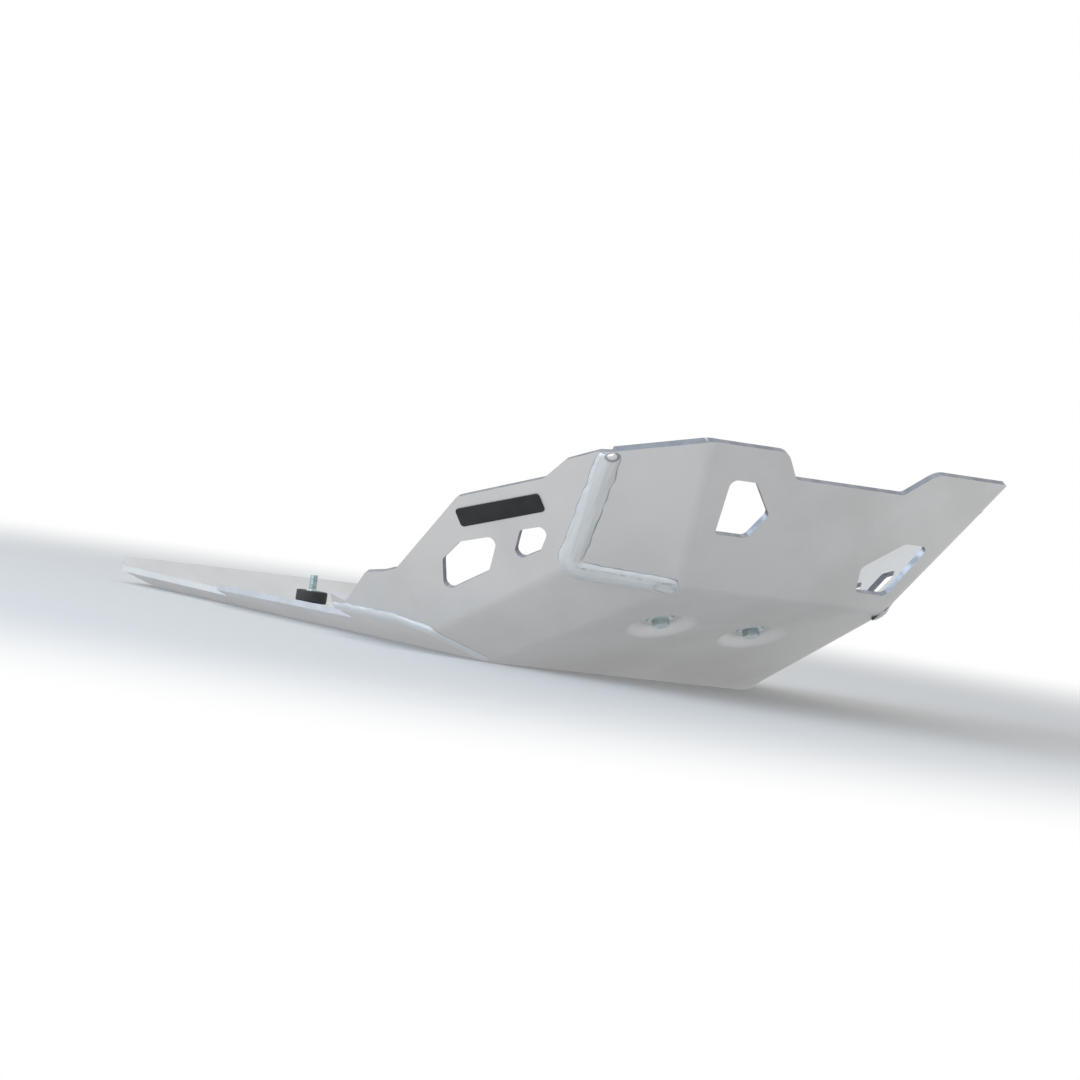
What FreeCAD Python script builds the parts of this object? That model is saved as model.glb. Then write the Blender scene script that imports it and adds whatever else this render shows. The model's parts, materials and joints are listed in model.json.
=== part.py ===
"""Engine guard of a motorbike: a folded aluminium sheet with welded corners, and the hardware that holds it.

Frame: +X to the front of the bike, +Y to its left, +Z up. The origin is the middle of the flat tray,
on its outer (lower) face, which the guard rests on. Millimetres.
"""
import FreeCAD, Part
import math
import os

import Sketcher

Vector = FreeCAD.Vector
ORIGIN = Vector(0, 0, 0)
ACROSS = Vector(0, 1, 0)
RECESS_STEPS = 3

doc = FreeCAD.newDocument("engine_guard")

# Driving dimensions: alias, value in millimetres or degrees, meaning
SIZES = (
    ("sheet_gauge", 4.0, "thickness of the aluminium sheet"),
    ("bend_radius", 14.0, "outer radius of every fold"),
    ("tray_length", 428.0, "from the belly fold back to the rear lip's fold"),
    ("tray_front_half", 110.0, "half width of the flat tray at the belly fold"),
    ("tray_rear_half", 92.0, "half width of the flat tray at the rear lip"),
    ("lip_length", 24.0, "length of the upturned rear lip along its slope"),
    ("lip_angle", 35.0, "slope of the rear lip"),
    ("lip_half", 108.0, "half width of the rear lip"),
    ("belly_length", 165.0, "from the belly fold to the nose fold, along the slope"),
    ("belly_angle", 24.7, "slope of the belly"),
    ("nose_fold_half", 87.0, "half width of the nose fold"),
    ("nose_angle", 58.3, "slope of the nose panel"),
    ("nose_height", 112.5, "height of the nose panel's ears along its slope"),
    ("ear_half", 125.0, "half width of the nose panel at the top of its ears"),
    ("facet_sweep_angle", 40.0, "angle by which the corner facets are folded back from the nose"),
    ("flange_width", 37.3, "width of the tray's side flange at the belly fold"),
    ("flange_rise", 13.7, "rise of the side flange over that width"),
    ("wall_foot_back", 18.3, "distance of the side wall's lower front corner behind the belly fold"),
    ("wall_toe_angle", 20.8, "angle by which the side walls close in towards the front"),
    ("wall_flare_angle", 28.3, "angle by which the side walls lean outwards"),
    ("ear_fold_back", 44.9, "distance of the upright fold in the side wall behind the belly fold"),
    ("ear_toe_angle", 3.5, "angle by which the wall's rear end closes in towards the rear"),
    ("wall_end_back", 119.0, "distance of the side wall's rear end behind the belly fold"),
    ("flange_half", 139.0, "half width over the side flanges behind the walls"),
    ("flange_taper_half", 126.0, "half width over the flanges in front of their step"),
    ("flange_step_back", 300.0, "distance of the flange's step behind the belly fold"),
    ("flange_step_half", 116.0, "half width over the flanges behind the step"),
    ("flange_end_back", 440.0, "distance of the flange's square rear end behind the belly fold"),
    ("flange_end_half", 114.0, "half width over the flanges at their rear end"),
    ("flange_corner_round", 1.5, "rounding of the flange's outline"),
    # Top outline of the side wall: along its foot from the belly fold, and up its slope
    ("wall_tip_along", -81.5, "rear tip"),
    ("wall_tip_up", 0.4, "rear tip"),
    ("wall_ear_along", -52.9, "top of the rear edge"),
    ("wall_ear_up", 32.3, "top of the rear edge"),
    ("wall_saddle_along", -21.7, "foot of the long slope"),
    ("wall_saddle_up", 43.9, "foot of the long slope"),
    ("wall_brow_along", 33.8, "top of the long slope"),
    ("wall_brow_up", 103.9, "top of the long slope"),
    ("wall_shelf_along", 102.2, "front end of the straight above the nameplate"),
    ("wall_shelf_up", 127.2, "front end of the straight above the nameplate"),
    ("wall_step_along", 120.3, "top of the short slope"),
    ("wall_step_up", 142.7, "top of the short slope"),
    ("wall_crest_along", 145.4, "rear end of the crest"),
    ("wall_crest_up", 152.3, "rear end of the crest"),
    ("wall_corner_along", 155.3, "front corner"),
    ("wall_corner_up", 153.4, "front corner"),
    ("wall_corner_round", 6.0, "rounding of the wall's outline"),
    # Large vent of the side wall
    ("vent_rear_along", 16.3, "rear corner"),
    ("vent_rear_up", 56.9, "rear corner"),
    ("vent_top_along", 31.7, "rear end of the top edge"),
    ("vent_top_up", 71.8, "rear end of the top edge"),
    ("vent_peak_along", 62.1, "front end of the top edge"),
    ("vent_peak_up", 80.8, "front end of the top edge"),
    ("vent_front_along", 51.6, "front end of the lower edge"),
    ("vent_front_up", 53.9, "front end of the lower edge"),
    ("vent_foot_along", 13.9, "rear end of the lower edge"),
    ("vent_foot_up", 32.6, "rear end of the lower edge"),
    # Small vent of the side wall
    ("slot_top_along", 79.4, "rear end of the top edge"),
    ("slot_top_up", 87.5, "rear end of the top edge"),
    ("slot_peak_along", 103.5, "front end of the top edge"),
    ("slot_peak_up", 94.6, "front end of the top edge"),
    ("slot_front_along", 93.3, "front end of the lower edge"),
    ("slot_front_up", 75.0, "front end of the lower edge"),
    ("slot_foot_along", 69.8, "rear end of the lower edge"),
    ("slot_foot_up", 62.9, "rear end of the lower edge"),
    ("vent_corner_round", 4.5, "rounding of every vent's corners"),
    # Top outline of the nose: sideways from its middle, and up its slope from the nose fold
    ("nose_corner_side", 160.1, "where the facets meet the walls"),
    ("nose_corner_up", 69.4, "where the facets meet the walls"),
    ("notch_side", 64.0, "half width of the notch at its top"),
    ("notch_floor_side", 46.0, "half width of the notch's floor"),
    ("notch_floor_up", 93.5, "height of the notch's floor"),
    ("ear_round", 8.0, "rounding at the fold on top of the ears"),
    ("notch_top_round", 14.0, "rounding of the ears beside the notch"),
    ("notch_floor_round", 5.0, "rounding of the notch's floor"),
    # Vents of the nose
    ("port_outer_top_side", 96.0, "top outer corner"),
    ("port_inner_top_side", 75.0, "top inner corner"),
    ("port_top_up", 87.0, "height of the top edge"),
    ("port_waist_side", 51.0, "innermost corner"),
    ("port_waist_up", 64.5, "innermost corner"),
    ("port_inner_foot_side", 58.0, "lower inner corner"),
    ("port_outer_foot_side", 84.5, "lower outer corner"),
    ("port_foot_up", 45.0, "height of the lower edge"),
    ("port_left_drop", 30.2, "how much lower the left vent sits"),
    ("port_left_in", 4.0, "how much nearer to the middle the left vent sits"),
    # Recessed mounting points
    ("recess_floor_radius", 13.0, "flat floor of a pressed recess"),
    ("recess_rim_radius", 24.0, "rim of a pressed recess"),
    ("recess_depth", 6.0, "depth of a pressed recess"),
    ("belly_bolt_up", 98.0, "distance of the belly bolts from the belly fold, along the slope"),
    ("belly_bolt_spacing", 77.4, "between the two belly bolts"),
    ("belly_bolt_shift", 7.0, "how far the belly pair sits to the bike's right"),
    ("tray_bolt_back", 285.0, "distance of the tray bolts behind the belly fold"),
    ("tray_bolt_spacing", 110.0, "between the two tray bolts"),
    ("bolt_hole_radius", 3.3, "clearance hole for the bolt"),
    # Bolt, washer, spacer sleeve and rubber damper
    ("bolt_radius", 3.0, "M6 shank"),
    ("thread_radius", 2.675, "threaded end of the shank at its pitch diameter"),
    ("bolt_length", 25.0, "under the head"),
    ("bolt_head_flats", 10.0, "across the flats of the hexagon head"),
    ("bolt_head_height", 4.0, "height of the hexagon head"),
    ("washer_radius", 9.0, "outer radius of the body washer"),
    ("washer_thickness", 1.6, "thickness of the body washer"),
    ("bolt_clearance", 0.2, "between the shank and the washer or the sleeve"),
    ("sleeve_wall", 1.8, "wall of the spacer sleeve"),
    ("sleeve_height", 9.0, "height of the spacer sleeve"),
    ("damper_radius", 11.0, "outer radius of the rubber damper"),
    ("damper_height", 8.0, "height of the rubber damper"),
    ("damper_clearance", 0.1, "between the sleeve and the damper"),
    # Weld beads
    ("front_bead_radius", 9.0, "radius of the front corner's bead"),
    ("front_bead_inset", 7.5, "depth of its centre line below both sheets' faces"),
    ("rear_bead_radius", 5.0, "radius of the rear corner's bead"),
    ("rear_bead_inset", 4.0, "depth of its centre line below both sheets' faces"),
    ("front_bead_gap", 14.0, "distance of the front bead's end from the nose fold's end"),
    ("rear_bead_gap", 14.0, "distance of the rear bead's end from the belly fold's end"),
    # Nameplate, blank
    ("plate_length", 69.0, "length of the nameplate"),
    ("plate_width", 12.6, "width of the nameplate"),
    ("plate_thickness", 0.8, "thickness of the nameplate"),
    ("plate_round", 2.5, "rounding of the nameplate's corners"),
    ("plate_along", 66.0, "middle of the nameplate along the wall"),
    ("plate_up", 99.5, "middle of the nameplate up the wall"),
    ("plate_angle", 17.9, "slope of the nameplate, along the wall's top edge"),
    # Cutting tools, larger than the sheet
    ("tool_reach", 400.0, "reach of the cutting tools beyond the sheet"),
    ("rear_tool_reach", 500.0, "reach of the flange's cutting tool behind the belly fold"),
    ("drawing_tolerance", 0.01, "distance within which two drawn corners are the same"),
    ("tool_depth", 30.0, "depth of the cutting tools on each side of a wall"),
    ("wall_tool_depth", 60.0, "depth of the side wall's cutting tool"),
    ("nose_tool_depth", 90.0, "depth of the nose's cutting tool"),
    ("form_height", 190.0, "height of the folded form before its outline is cut"),
    ("form_overrun", 60.0, "how much further the inner form reaches, so that the sheet is open"),
    ("trimming_span", 1600.0, "edge of the blocks that trim the folded form"),
)

sheet = doc.addObject("Spreadsheet::Sheet", "sizes")
for row, (alias, value, meaning) in enumerate(SIZES, start=1):
    sheet.set(f"A{row}", meaning)
    sheet.set(f"B{row}", str(value))
    sheet.setAlias(f"B{row}", alias)
doc.recompute()


def size(alias):
    """Value of a cell of the sheet; a leading minus sign turns it round."""
    if alias.startswith("-"):
        return -sheet.get(alias[1:])
    return sheet.get(alias)


def cell(alias):
    """Expression that reads a cell of the sheet; a leading minus sign turns it round."""
    if alias.startswith("-"):
        return f"-sizes.{alias[1:]}"
    return f"sizes.{alias}"


def bind(item, **bindings):
    """Ties properties of an object to expressions in the sheet's cells."""
    for name, expression in bindings.items():
        item.setExpression(name, expression)


def slope(degrees):
    """Direction that rises forwards at an angle, in the plane of symmetry."""
    angle = math.radians(degrees)
    return Vector(math.cos(angle), 0, math.sin(angle))


def underside(degrees):
    """Outward normal of the lower face of a panel that rises forwards at an angle."""
    angle = math.radians(degrees)
    return Vector(math.sin(angle), 0, -math.cos(angle))


def mirrored(vector):
    """The same point or direction on the bike's other side."""
    return Vector(vector.x, -vector.y, vector.z)


def plane_through(first, second, third):
    """Plane of the sheet's lower face through three points, its normal pointing down."""
    normal = (second - first).cross(third - first).normalize()
    if normal.z > 0:
        normal = -normal
    return first, normal


def meeting_point(planes, inset=0.0):
    """Point where three planes meet, each moved into the guard by the inset."""
    a, b, c = [normal for _, normal in planes]
    levels = [point.dot(normal) - inset for point, normal in planes]
    spread = a.dot(b.cross(c))
    return (b.cross(c) * levels[0] + c.cross(a) * levels[1] + a.cross(b) * levels[2]) / spread


# Fold corners on the bike's right, on the sheet's outer face
belly_slope = slope(size("belly_angle"))
nose_slope = slope(size("nose_angle"))
belly_fold = Vector(size("tray_length") / 2, 0, 0)
lip_fold = Vector(-size("tray_length") / 2, 0, 0)
belly_corner = belly_fold + Vector(0, -size("tray_front_half"), 0)
tray_corner = lip_fold + Vector(0, -size("tray_rear_half"), 0)
nose_middle = belly_fold + belly_slope * size("belly_length")
nose_corner = nose_middle + Vector(0, -size("nose_fold_half"), 0)
ear_corner = nose_middle + nose_slope * size("nose_height") + Vector(0, -size("ear_half"), 0)
wall_foot = belly_corner + Vector(-size("wall_foot_back"), -size("flange_width"), size("flange_rise"))

# Planes of the sheet's outer faces: a point and the outward normal
toe = math.radians(size("wall_toe_angle"))
flare = math.radians(size("wall_flare_angle"))
ear_toe = math.radians(size("ear_toe_angle"))


def leaning(turn):
    """Outward normal of a right side wall that leans by the flare and closes in forwards by an angle."""
    return Vector(math.sin(turn) * math.cos(flare), -math.cos(turn) * math.cos(flare), -math.sin(flare))


wall_normal = leaning(toe)
nose_normal = underside(size("nose_angle"))
fold_line = (ear_corner - nose_corner).normalize()
facet_normal = FreeCAD.Rotation(fold_line, -size("facet_sweep_angle")).multVec(nose_normal)

tray = (ORIGIN, underside(0))
belly = (belly_fold, underside(size("belly_angle")))
nose = (nose_middle, nose_normal)
lip = (lip_fold, underside(-size("lip_angle")))
chamfer = plane_through(belly_corner, nose_corner, wall_foot)
flange = plane_through(belly_corner, tray_corner, wall_foot)
wall = (wall_foot, wall_normal)
facet = (nose_corner, facet_normal)
ear_fold = (belly_fold + Vector(-size("ear_fold_back"), 0, 0), Vector(1, 0, 0))
wall_end = (belly_fold + Vector(-size("wall_end_back"), 0, 0), Vector(1, 0, 0))
ear_foot = meeting_point((flange, wall, ear_fold))
ear = (ear_foot, leaning(-ear_toe))

middle_planes = (tray, belly, nose, lip)
side_planes = (flange, chamfer, wall, ear, facet)


# The folded form: the space inside the fold planes, rounded at every fold
def trimmed(solid, point, normal):
    """Part of a solid that lies behind a plane."""
    span = size("trimming_span")
    block = Part.makeBox(span, span, span, Vector(-span / 2, -span / 2, 0))
    block.Placement = FreeCAD.Placement(point, FreeCAD.Rotation(Vector(0, 0, 1), normal))
    return solid.cut(block)


def fold_core(name, rear, height):
    """Solid inside the fold planes, each moved in by the bend radius, up to a rear end and a height."""
    reach = size("tool_reach")
    radius = size("bend_radius")
    solid = Part.makeBox(2 * reach + rear, 2 * reach, height, lip_fold + Vector(-rear, -reach, 0))
    for point, normal in middle_planes:
        solid = trimmed(solid, point - normal * radius, normal)
    for point, normal in side_planes:
        solid = trimmed(solid, point - normal * radius, normal)
        solid = trimmed(solid, mirrored(point - normal * radius), mirrored(normal))
    core = doc.addObject("Part::Feature", name)
    core.Shape = solid.Solids[0]
    return core


def rounded_form(name, core, radius):
    """A core grown by a radius, so that its edges become folds of that radius."""
    form = doc.addObject("Part::Offset", name)
    form.Source = core
    form.Mode = "Skin"
    form.Join = "Arc"
    bind(form, Value=radius)
    return form


outer_rear = size("lip_length") + size("tool_depth")
outer_core = fold_core("outer_core", outer_rear, size("form_height"))
inner_core = fold_core(
    "inner_core", outer_rear + size("form_overrun"), size("form_height") + size("form_overrun")
)
outer_form = rounded_form("outer_form", outer_core, "sizes.bend_radius")
inner_form = rounded_form("inner_form", inner_core, "sizes.bend_radius - sizes.sheet_gauge")
folded_sheet = doc.addObject("Part::Cut", "folded_sheet")
folded_sheet.Base = outer_form
folded_sheet.Tool = inner_form
doc.recompute()


# Outlines and vents, cut square to the sheet
def face_placement(point, along, normal):
    """Placement of a drawing on a face, its first axis along the face and its third out of it."""
    rotation = FreeCAD.Rotation(along, normal.cross(along), normal, "ZXY")
    return FreeCAD.Placement(point, rotation)


def drawn_polygon(name, placement, corners):
    """Sketch of a closed polygon whose corners are tied to pairs of cells."""
    sketch = doc.addObject("Sketcher::SketchObject", name)
    sketch.Placement = placement
    points = [Vector(size(x), size(y), 0) for x, y in corners]
    for index, point in enumerate(points):
        sketch.addGeometry(Part.LineSegment(point, points[(index + 1) % len(points)]), False)
    for index in range(len(points)):
        following = (index + 1) % len(points)
        sketch.addConstraint(Sketcher.Constraint("Coincident", index, 2, following, 1))
    for index, (x, y) in enumerate(corners):
        for kind, alias in (("DistanceX", x), ("DistanceY", y)):
            number = sketch.addConstraint(Sketcher.Constraint(kind, -1, 1, index, 1, size(alias)))
            sketch.setExpression(f"Constraints[{number}]", cell(alias))
    return sketch


def cutter(name, sketch, depth, *roundings):
    """Prism on both sides of a sketch, rounded at groups of corners, each with the radius that follows it."""
    prism = doc.addObject("Part::Extrusion", f"{name}_prism")
    prism.Base = sketch
    prism.DirMode = "Normal"
    prism.Solid = True
    prism.Symmetric = True
    bind(prism, LengthFwd=f"2 * {cell(depth)}")
    doc.recompute()
    spots = [(Vector(size(x), size(y), 0), size(radius)) for corners, radius in roundings for x, y in corners]
    to_sketch = sketch.Placement.inverse()
    edges = []
    for number, edge in enumerate(prism.Shape.Edges, start=1):
        first, last = [to_sketch.multVec(vertex.Point) for vertex in edge.Vertexes]
        flat = Vector(first.x, first.y, 0)
        upright = abs(first.z - last.z) > size(depth)
        for spot, radius in spots:
            if upright and flat.distanceToPoint(spot) < size("drawing_tolerance"):
                edges.append((number, radius, radius))
    rounded = doc.addObject("Part::Fillet", name)
    rounded.Base = prism
    rounded.Edges = edges
    return rounded


def mirror_image(name, source):
    """Copy of an object on the bike's left."""
    image = doc.addObject("Part::Mirroring", name)
    image.Source = source
    image.Base = ORIGIN
    image.Normal = ACROSS
    return image


wall_along = Vector(math.cos(toe), math.sin(toe), 0)
wall_face = face_placement(wall_foot, wall_along, wall_normal)
nose_face = face_placement(nose_middle, Vector(0, -1, 0), -nose_normal)

wall_outline = (
    ("wall_tip_along", "wall_tip_up"),
    ("wall_ear_along", "wall_ear_up"),
    ("wall_saddle_along", "wall_saddle_up"),
    ("wall_brow_along", "wall_brow_up"),
    ("wall_shelf_along", "wall_shelf_up"),
    ("wall_step_along", "wall_step_up"),
    ("wall_crest_along", "wall_crest_up"),
)
wall_waste = (("-tool_reach", "wall_tip_up"),) + wall_outline + (
    ("wall_corner_along", "wall_corner_up"),
    ("wall_corner_along", "tool_reach"),
    ("-tool_reach", "tool_reach"),
)
vent_outline = (
    ("vent_rear_along", "vent_rear_up"),
    ("vent_top_along", "vent_top_up"),
    ("vent_peak_along", "vent_peak_up"),
    ("vent_front_along", "vent_front_up"),
    ("vent_foot_along", "vent_foot_up"),
)
slot_outline = (
    ("slot_top_along", "slot_top_up"),
    ("slot_peak_along", "slot_peak_up"),
    ("slot_front_along", "slot_front_up"),
    ("slot_foot_along", "slot_foot_up"),
)
ear_corners = (("ear_half", "nose_height"), ("-ear_half", "nose_height"))
notch_corners = (("notch_side", "nose_height"), ("-notch_side", "nose_height"))
notch_floor = (("notch_floor_side", "notch_floor_up"), ("-notch_floor_side", "notch_floor_up"))
nose_waste = (
    ("tool_reach", "tool_reach"),
    ("tool_reach", "nose_corner_up"),
    ("nose_corner_side", "nose_corner_up"),
    ear_corners[0], notch_corners[0], notch_floor[0],
    notch_floor[1], notch_corners[1], ear_corners[1],
    ("-nose_corner_side", "nose_corner_up"),
    ("-tool_reach", "nose_corner_up"),
    ("-tool_reach", "tool_reach"),
)
port_outline = (
    ("port_outer_top_side", "port_top_up"),
    ("port_inner_top_side", "port_top_up"),
    ("port_waist_side", "port_waist_up"),
    ("port_inner_foot_side", "port_foot_up"),
    ("port_outer_foot_side", "port_foot_up"),
)
flange_edge = (
    ("-flange_step_back", "-flange_taper_half"),
    ("-flange_step_back", "-flange_step_half"),
    ("-flange_end_back", "-flange_end_half"),
    ("-flange_end_back", "-lip_half"),
)
flange_waste = (
    ("-wall_end_back", "-tool_reach"),
    ("-wall_end_back", "-flange_half"),
) + flange_edge + (
    ("-rear_tool_reach", "-lip_half"),
    ("-rear_tool_reach", "-tool_reach"),
)

wall_sketch = drawn_polygon("wall_outline", wall_face, wall_waste)
vent_sketch = drawn_polygon("vent_outline", wall_face, vent_outline)
slot_sketch = drawn_polygon("slot_outline", wall_face, slot_outline)
nose_sketch = drawn_polygon("nose_outline", nose_face, nose_waste)
port_sketch = drawn_polygon("port_outline", nose_face, port_outline)
plan_face = FreeCAD.Placement(belly_fold, FreeCAD.Rotation())
flange_sketch = drawn_polygon("flange_outline", plan_face, flange_waste)
doc.recompute()

wall_cut = cutter("wall_cut", wall_sketch, "wall_tool_depth", (wall_outline, "wall_corner_round"))
vent_cut = cutter("vent_cut", vent_sketch, "tool_depth", (vent_outline, "vent_corner_round"))
slot_cut = cutter("slot_cut", slot_sketch, "tool_depth", (slot_outline, "vent_corner_round"))
nose_cut = cutter(
    "nose_cut", nose_sketch, "nose_tool_depth",
    (ear_corners, "ear_round"), (notch_corners, "notch_top_round"), (notch_floor, "notch_floor_round")
)
port_cut = cutter("port_cut", port_sketch, "tool_depth", (port_outline, "vent_corner_round"))
flange_cut = cutter("flange_cut", flange_sketch, "tool_reach", (flange_edge, "flange_corner_round"))

left_port_cut = mirror_image("left_port_cut", port_cut)
left_port_shift = ACROSS * -size("port_left_in") - nose_slope * size("port_left_drop")
left_port_cut.Placement = FreeCAD.Placement(left_port_shift, FreeCAD.Rotation())

rear_cut = doc.addObject("Part::Box", "rear_cut")
bind(rear_cut, Length="sizes.tool_reach", Width="2 * sizes.tool_reach", Height="2 * sizes.tool_reach")
lip_run = size("lip_length") * math.cos(math.radians(size("lip_angle")))
reach = size("tool_reach")
rear_cut.Placement.Base = lip_fold - Vector(lip_run + reach, reach, reach)

side_cuts = (wall_cut, vent_cut, slot_cut, flange_cut)
left_cuts = [mirror_image(f"left_{item.Name}", item) for item in side_cuts]
outline_cuts = doc.addObject("Part::MultiFuse", "outline_cuts")
outline_cuts.Shapes = [*side_cuts, *left_cuts, nose_cut, port_cut, left_port_cut, rear_cut]
trimmed_sheet = doc.addObject("Part::Cut", "trimmed_sheet")
trimmed_sheet.Base = folded_sheet
trimmed_sheet.Tool = outline_cuts
doc.recompute()


# Mounting points: a frame on the sheet's outer face with its third axis into the guard
def mount_frame(point, normal):
    """Placement on the outer face, its third axis along the bolt into the guard."""
    return FreeCAD.Placement(point, FreeCAD.Rotation(Vector(0, 0, 1), -normal))


belly_row = belly_fold + belly_slope * size("belly_bolt_up") + Vector(0, -size("belly_bolt_shift"), 0)
tray_row = belly_fold + Vector(-size("tray_bolt_back"), 0, 0)
MOUNT_POINTS = tuple(
    mount_frame(row_middle + ACROSS * (side * spacing / 2), normal)
    for row_middle, spacing, normal in (
        (belly_row, size("belly_bolt_spacing"), belly[1]),
        (tray_row, size("tray_bolt_spacing"), tray[1]),
    )
    for side in (-1, 1)
)


# Pressed recesses: the sheet is pushed in along a wave, and keeps its thickness
def recess_profile(name, start, depth):
    """Half section of a pressed recess, from a starting level to its floor, drawn along the bolt's axis."""
    floor = size("recess_floor_radius")
    rim = size("recess_rim_radius")
    lift = size("recess_depth")
    top = start + depth
    points = [Vector(0, start, 0), Vector(0, top, 0)]
    for step in range(RECESS_STEPS + 1):
        share = step / RECESS_STEPS
        fall = lift * (1 - math.cos(math.pi * share)) / 2
        points.append(Vector(floor + (rim - floor) * share, top - fall, 0))
    if top - lift > start:
        points.append(Vector(rim, start, 0))
    sketch = doc.addObject("Sketcher::SketchObject", name)
    sketch.Placement = FreeCAD.Placement(ORIGIN, FreeCAD.Rotation(Vector(1, 0, 0), 90))
    for index, point in enumerate(points):
        sketch.addGeometry(Part.LineSegment(point, points[(index + 1) % len(points)]), False)
    return sketch


def turned(name, sketch, placement):
    """Solid of revolution of a sketch about the bolt's axis, at a mounting point."""
    solid = doc.addObject("Part::Revolution", name)
    solid.Source = sketch
    solid.Axis = Vector(0, 0, 1)
    solid.Base = ORIGIN
    solid.Angle = 360
    solid.Solid = True
    solid.Placement = placement
    return solid


half_gauge = size("sheet_gauge") / 2
boss_sketch = recess_profile("boss_section", half_gauge, size("recess_depth") + half_gauge)
recess_sketch = recess_profile("recess_section", 0.0, size("recess_depth"))
doc.recompute()
bosses = [turned(f"boss_{number}", boss_sketch, place) for number, place in enumerate(MOUNT_POINTS, 1)]
recesses = [turned(f"recess_{number}", recess_sketch, place) for number, place in enumerate(MOUNT_POINTS, 1)]
holes = []
for number, place in enumerate(MOUNT_POINTS, 1):
    hole = doc.addObject("Part::Cylinder", f"bolt_hole_{number}")
    bind(hole, Radius="sizes.bolt_hole_radius", Height="2 * sizes.tool_depth")
    hole.Placement = place.multiply(FreeCAD.Placement(Vector(0, 0, -size("tool_depth")), FreeCAD.Rotation()))
    holes.append(hole)

embossed_sheet = doc.addObject("Part::MultiFuse", "embossed_sheet")
embossed_sheet.Shapes = [trimmed_sheet, *bosses]
mount_cuts = doc.addObject("Part::MultiFuse", "mount_cuts")
mount_cuts.Shapes = [*recesses, *holes]
guard_plate = doc.addObject("Part::Cut", "guard_plate")
guard_plate.Base = embossed_sheet
guard_plate.Tool = mount_cuts
guard_plate.Label = "guard_plate"
doc.recompute()


# Weld beads on the outside of the closed corners
def bead(name, points, radius):
    """Round bead along a path of straight runs, left standing proud of the sheet's outer face."""
    path = doc.addObject("Part::Feature", f"{name}_path")
    path.Shape = Part.makePolygon(points)
    section = doc.addObject("Part::Circle", f"{name}_section")
    bind(section, Radius=cell(radius))
    section.Placement = FreeCAD.Placement(points[0], FreeCAD.Rotation(Vector(0, 0, 1), points[1] - points[0]))
    sweep = doc.addObject("Part::Sweep", f"{name}_sweep")
    sweep.Sections = [section]
    sweep.Spine = (path, [f"Edge{number}" for number in range(1, len(points))])
    sweep.Solid = True
    sweep.Frenet = False
    sweep.Transition = "Right corner"
    proud = doc.addObject("Part::Cut", name)
    proud.Base = sweep
    proud.Tool = outer_form
    proud.Label = name
    return proud


front_inset = size("front_bead_inset")
rear_inset = size("rear_bead_inset")
wall_top = wall_face.multVec(Vector(size("wall_corner_along"), size("wall_corner_up"), 0))
corner_top = (wall_top, wall_face.Rotation.multVec(Vector(0, 1, 0)))
corner_low = meeting_point((wall, facet, chamfer), front_inset)
nose_end = meeting_point((facet, chamfer, belly), front_inset)
corner_run = (nose_end - corner_low).normalize()
front_path = [
    meeting_point(((wall[0] - wall[1] * front_inset, wall[1]), (facet[0] - facet[1] * front_inset, facet[1]),
                   corner_top)),
    corner_low,
    nose_end - corner_run * size("front_bead_gap"),
]
lowered_flange = (flange[0] - flange[1] * rear_inset, flange[1])
lowered_ear = (ear[0] - ear[1] * rear_inset, ear[1])
foot_end = meeting_point((flange, wall, chamfer), rear_inset)
belly_end = meeting_point((flange, chamfer, tray), rear_inset)
foot_run = (belly_end - foot_end).normalize()
rear_path = [
    meeting_point((lowered_flange, lowered_ear, wall_end)),
    meeting_point((flange, wall, ear), rear_inset),
    foot_end,
    belly_end - foot_run * size("rear_bead_gap"),
]
weld_front_right = bead("weld_front_right", front_path, "front_bead_radius")
weld_rear_right = bead("weld_rear_right", rear_path, "rear_bead_radius")
weld_front_left = mirror_image("weld_front_left", weld_front_right)
weld_rear_left = mirror_image("weld_rear_left", weld_rear_right)
weld_front_left.Label = "weld_front_left"
weld_rear_left.Label = "weld_rear_left"

# Blank nameplate on the right wall
tilt = FreeCAD.Rotation(Vector(0, 0, 1), size("plate_angle"))
plate_middle = Vector(size("plate_along"), size("plate_up"), 0)
plate_face = wall_face.multiply(FreeCAD.Placement(plate_middle, tilt))
plate_corner = Vector(-size("plate_length") / 2, -size("plate_width") / 2, 0)
plate_blank = doc.addObject("Part::Box", "plate_blank")
bind(plate_blank, Length="sizes.plate_length", Width="sizes.plate_width", Height="sizes.plate_thickness")
plate_blank.Placement = plate_face.multiply(FreeCAD.Placement(plate_corner, FreeCAD.Rotation()))
doc.recompute()
nameplate = doc.addObject("Part::Fillet", "nameplate")
nameplate.Base = plate_blank
nameplate.Edges = [
    (number, size("plate_round"), size("plate_round"))
    for number, edge in enumerate(plate_blank.Shape.Edges, start=1)
    if abs(edge.Length - size("plate_thickness")) < size("drawing_tolerance")
]
nameplate.Label = "nameplate"


# Hardware, drawn once about the bolt's axis with its seat at the level of the recess's outer floor
def origin_plane(body, role):
    """One of a body's own origin planes."""
    return next(item for item in body.Origin.OriginFeatures if item.Role == role)


def seat_sketch(body, name):
    """Empty sketch in a body, on the plane of its seat."""
    sketch = body.newObject("Sketcher::SketchObject", name)
    sketch.AttachmentSupport = (origin_plane(body, "XY_Plane"), "")
    sketch.MapMode = "FlatFace"
    return sketch


def add_circle(sketch, radius, expression):
    """Circle about a sketch's origin, its radius tied to an expression."""
    circle = sketch.addGeometry(Part.Circle(ORIGIN, Vector(0, 0, 1), radius), False)
    sketch.addConstraint(Sketcher.Constraint("Coincident", circle, 3, -1, 1))
    number = sketch.addConstraint(Sketcher.Constraint("Radius", circle, radius))
    sketch.setExpression(f"Constraints[{number}]", expression)


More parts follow.
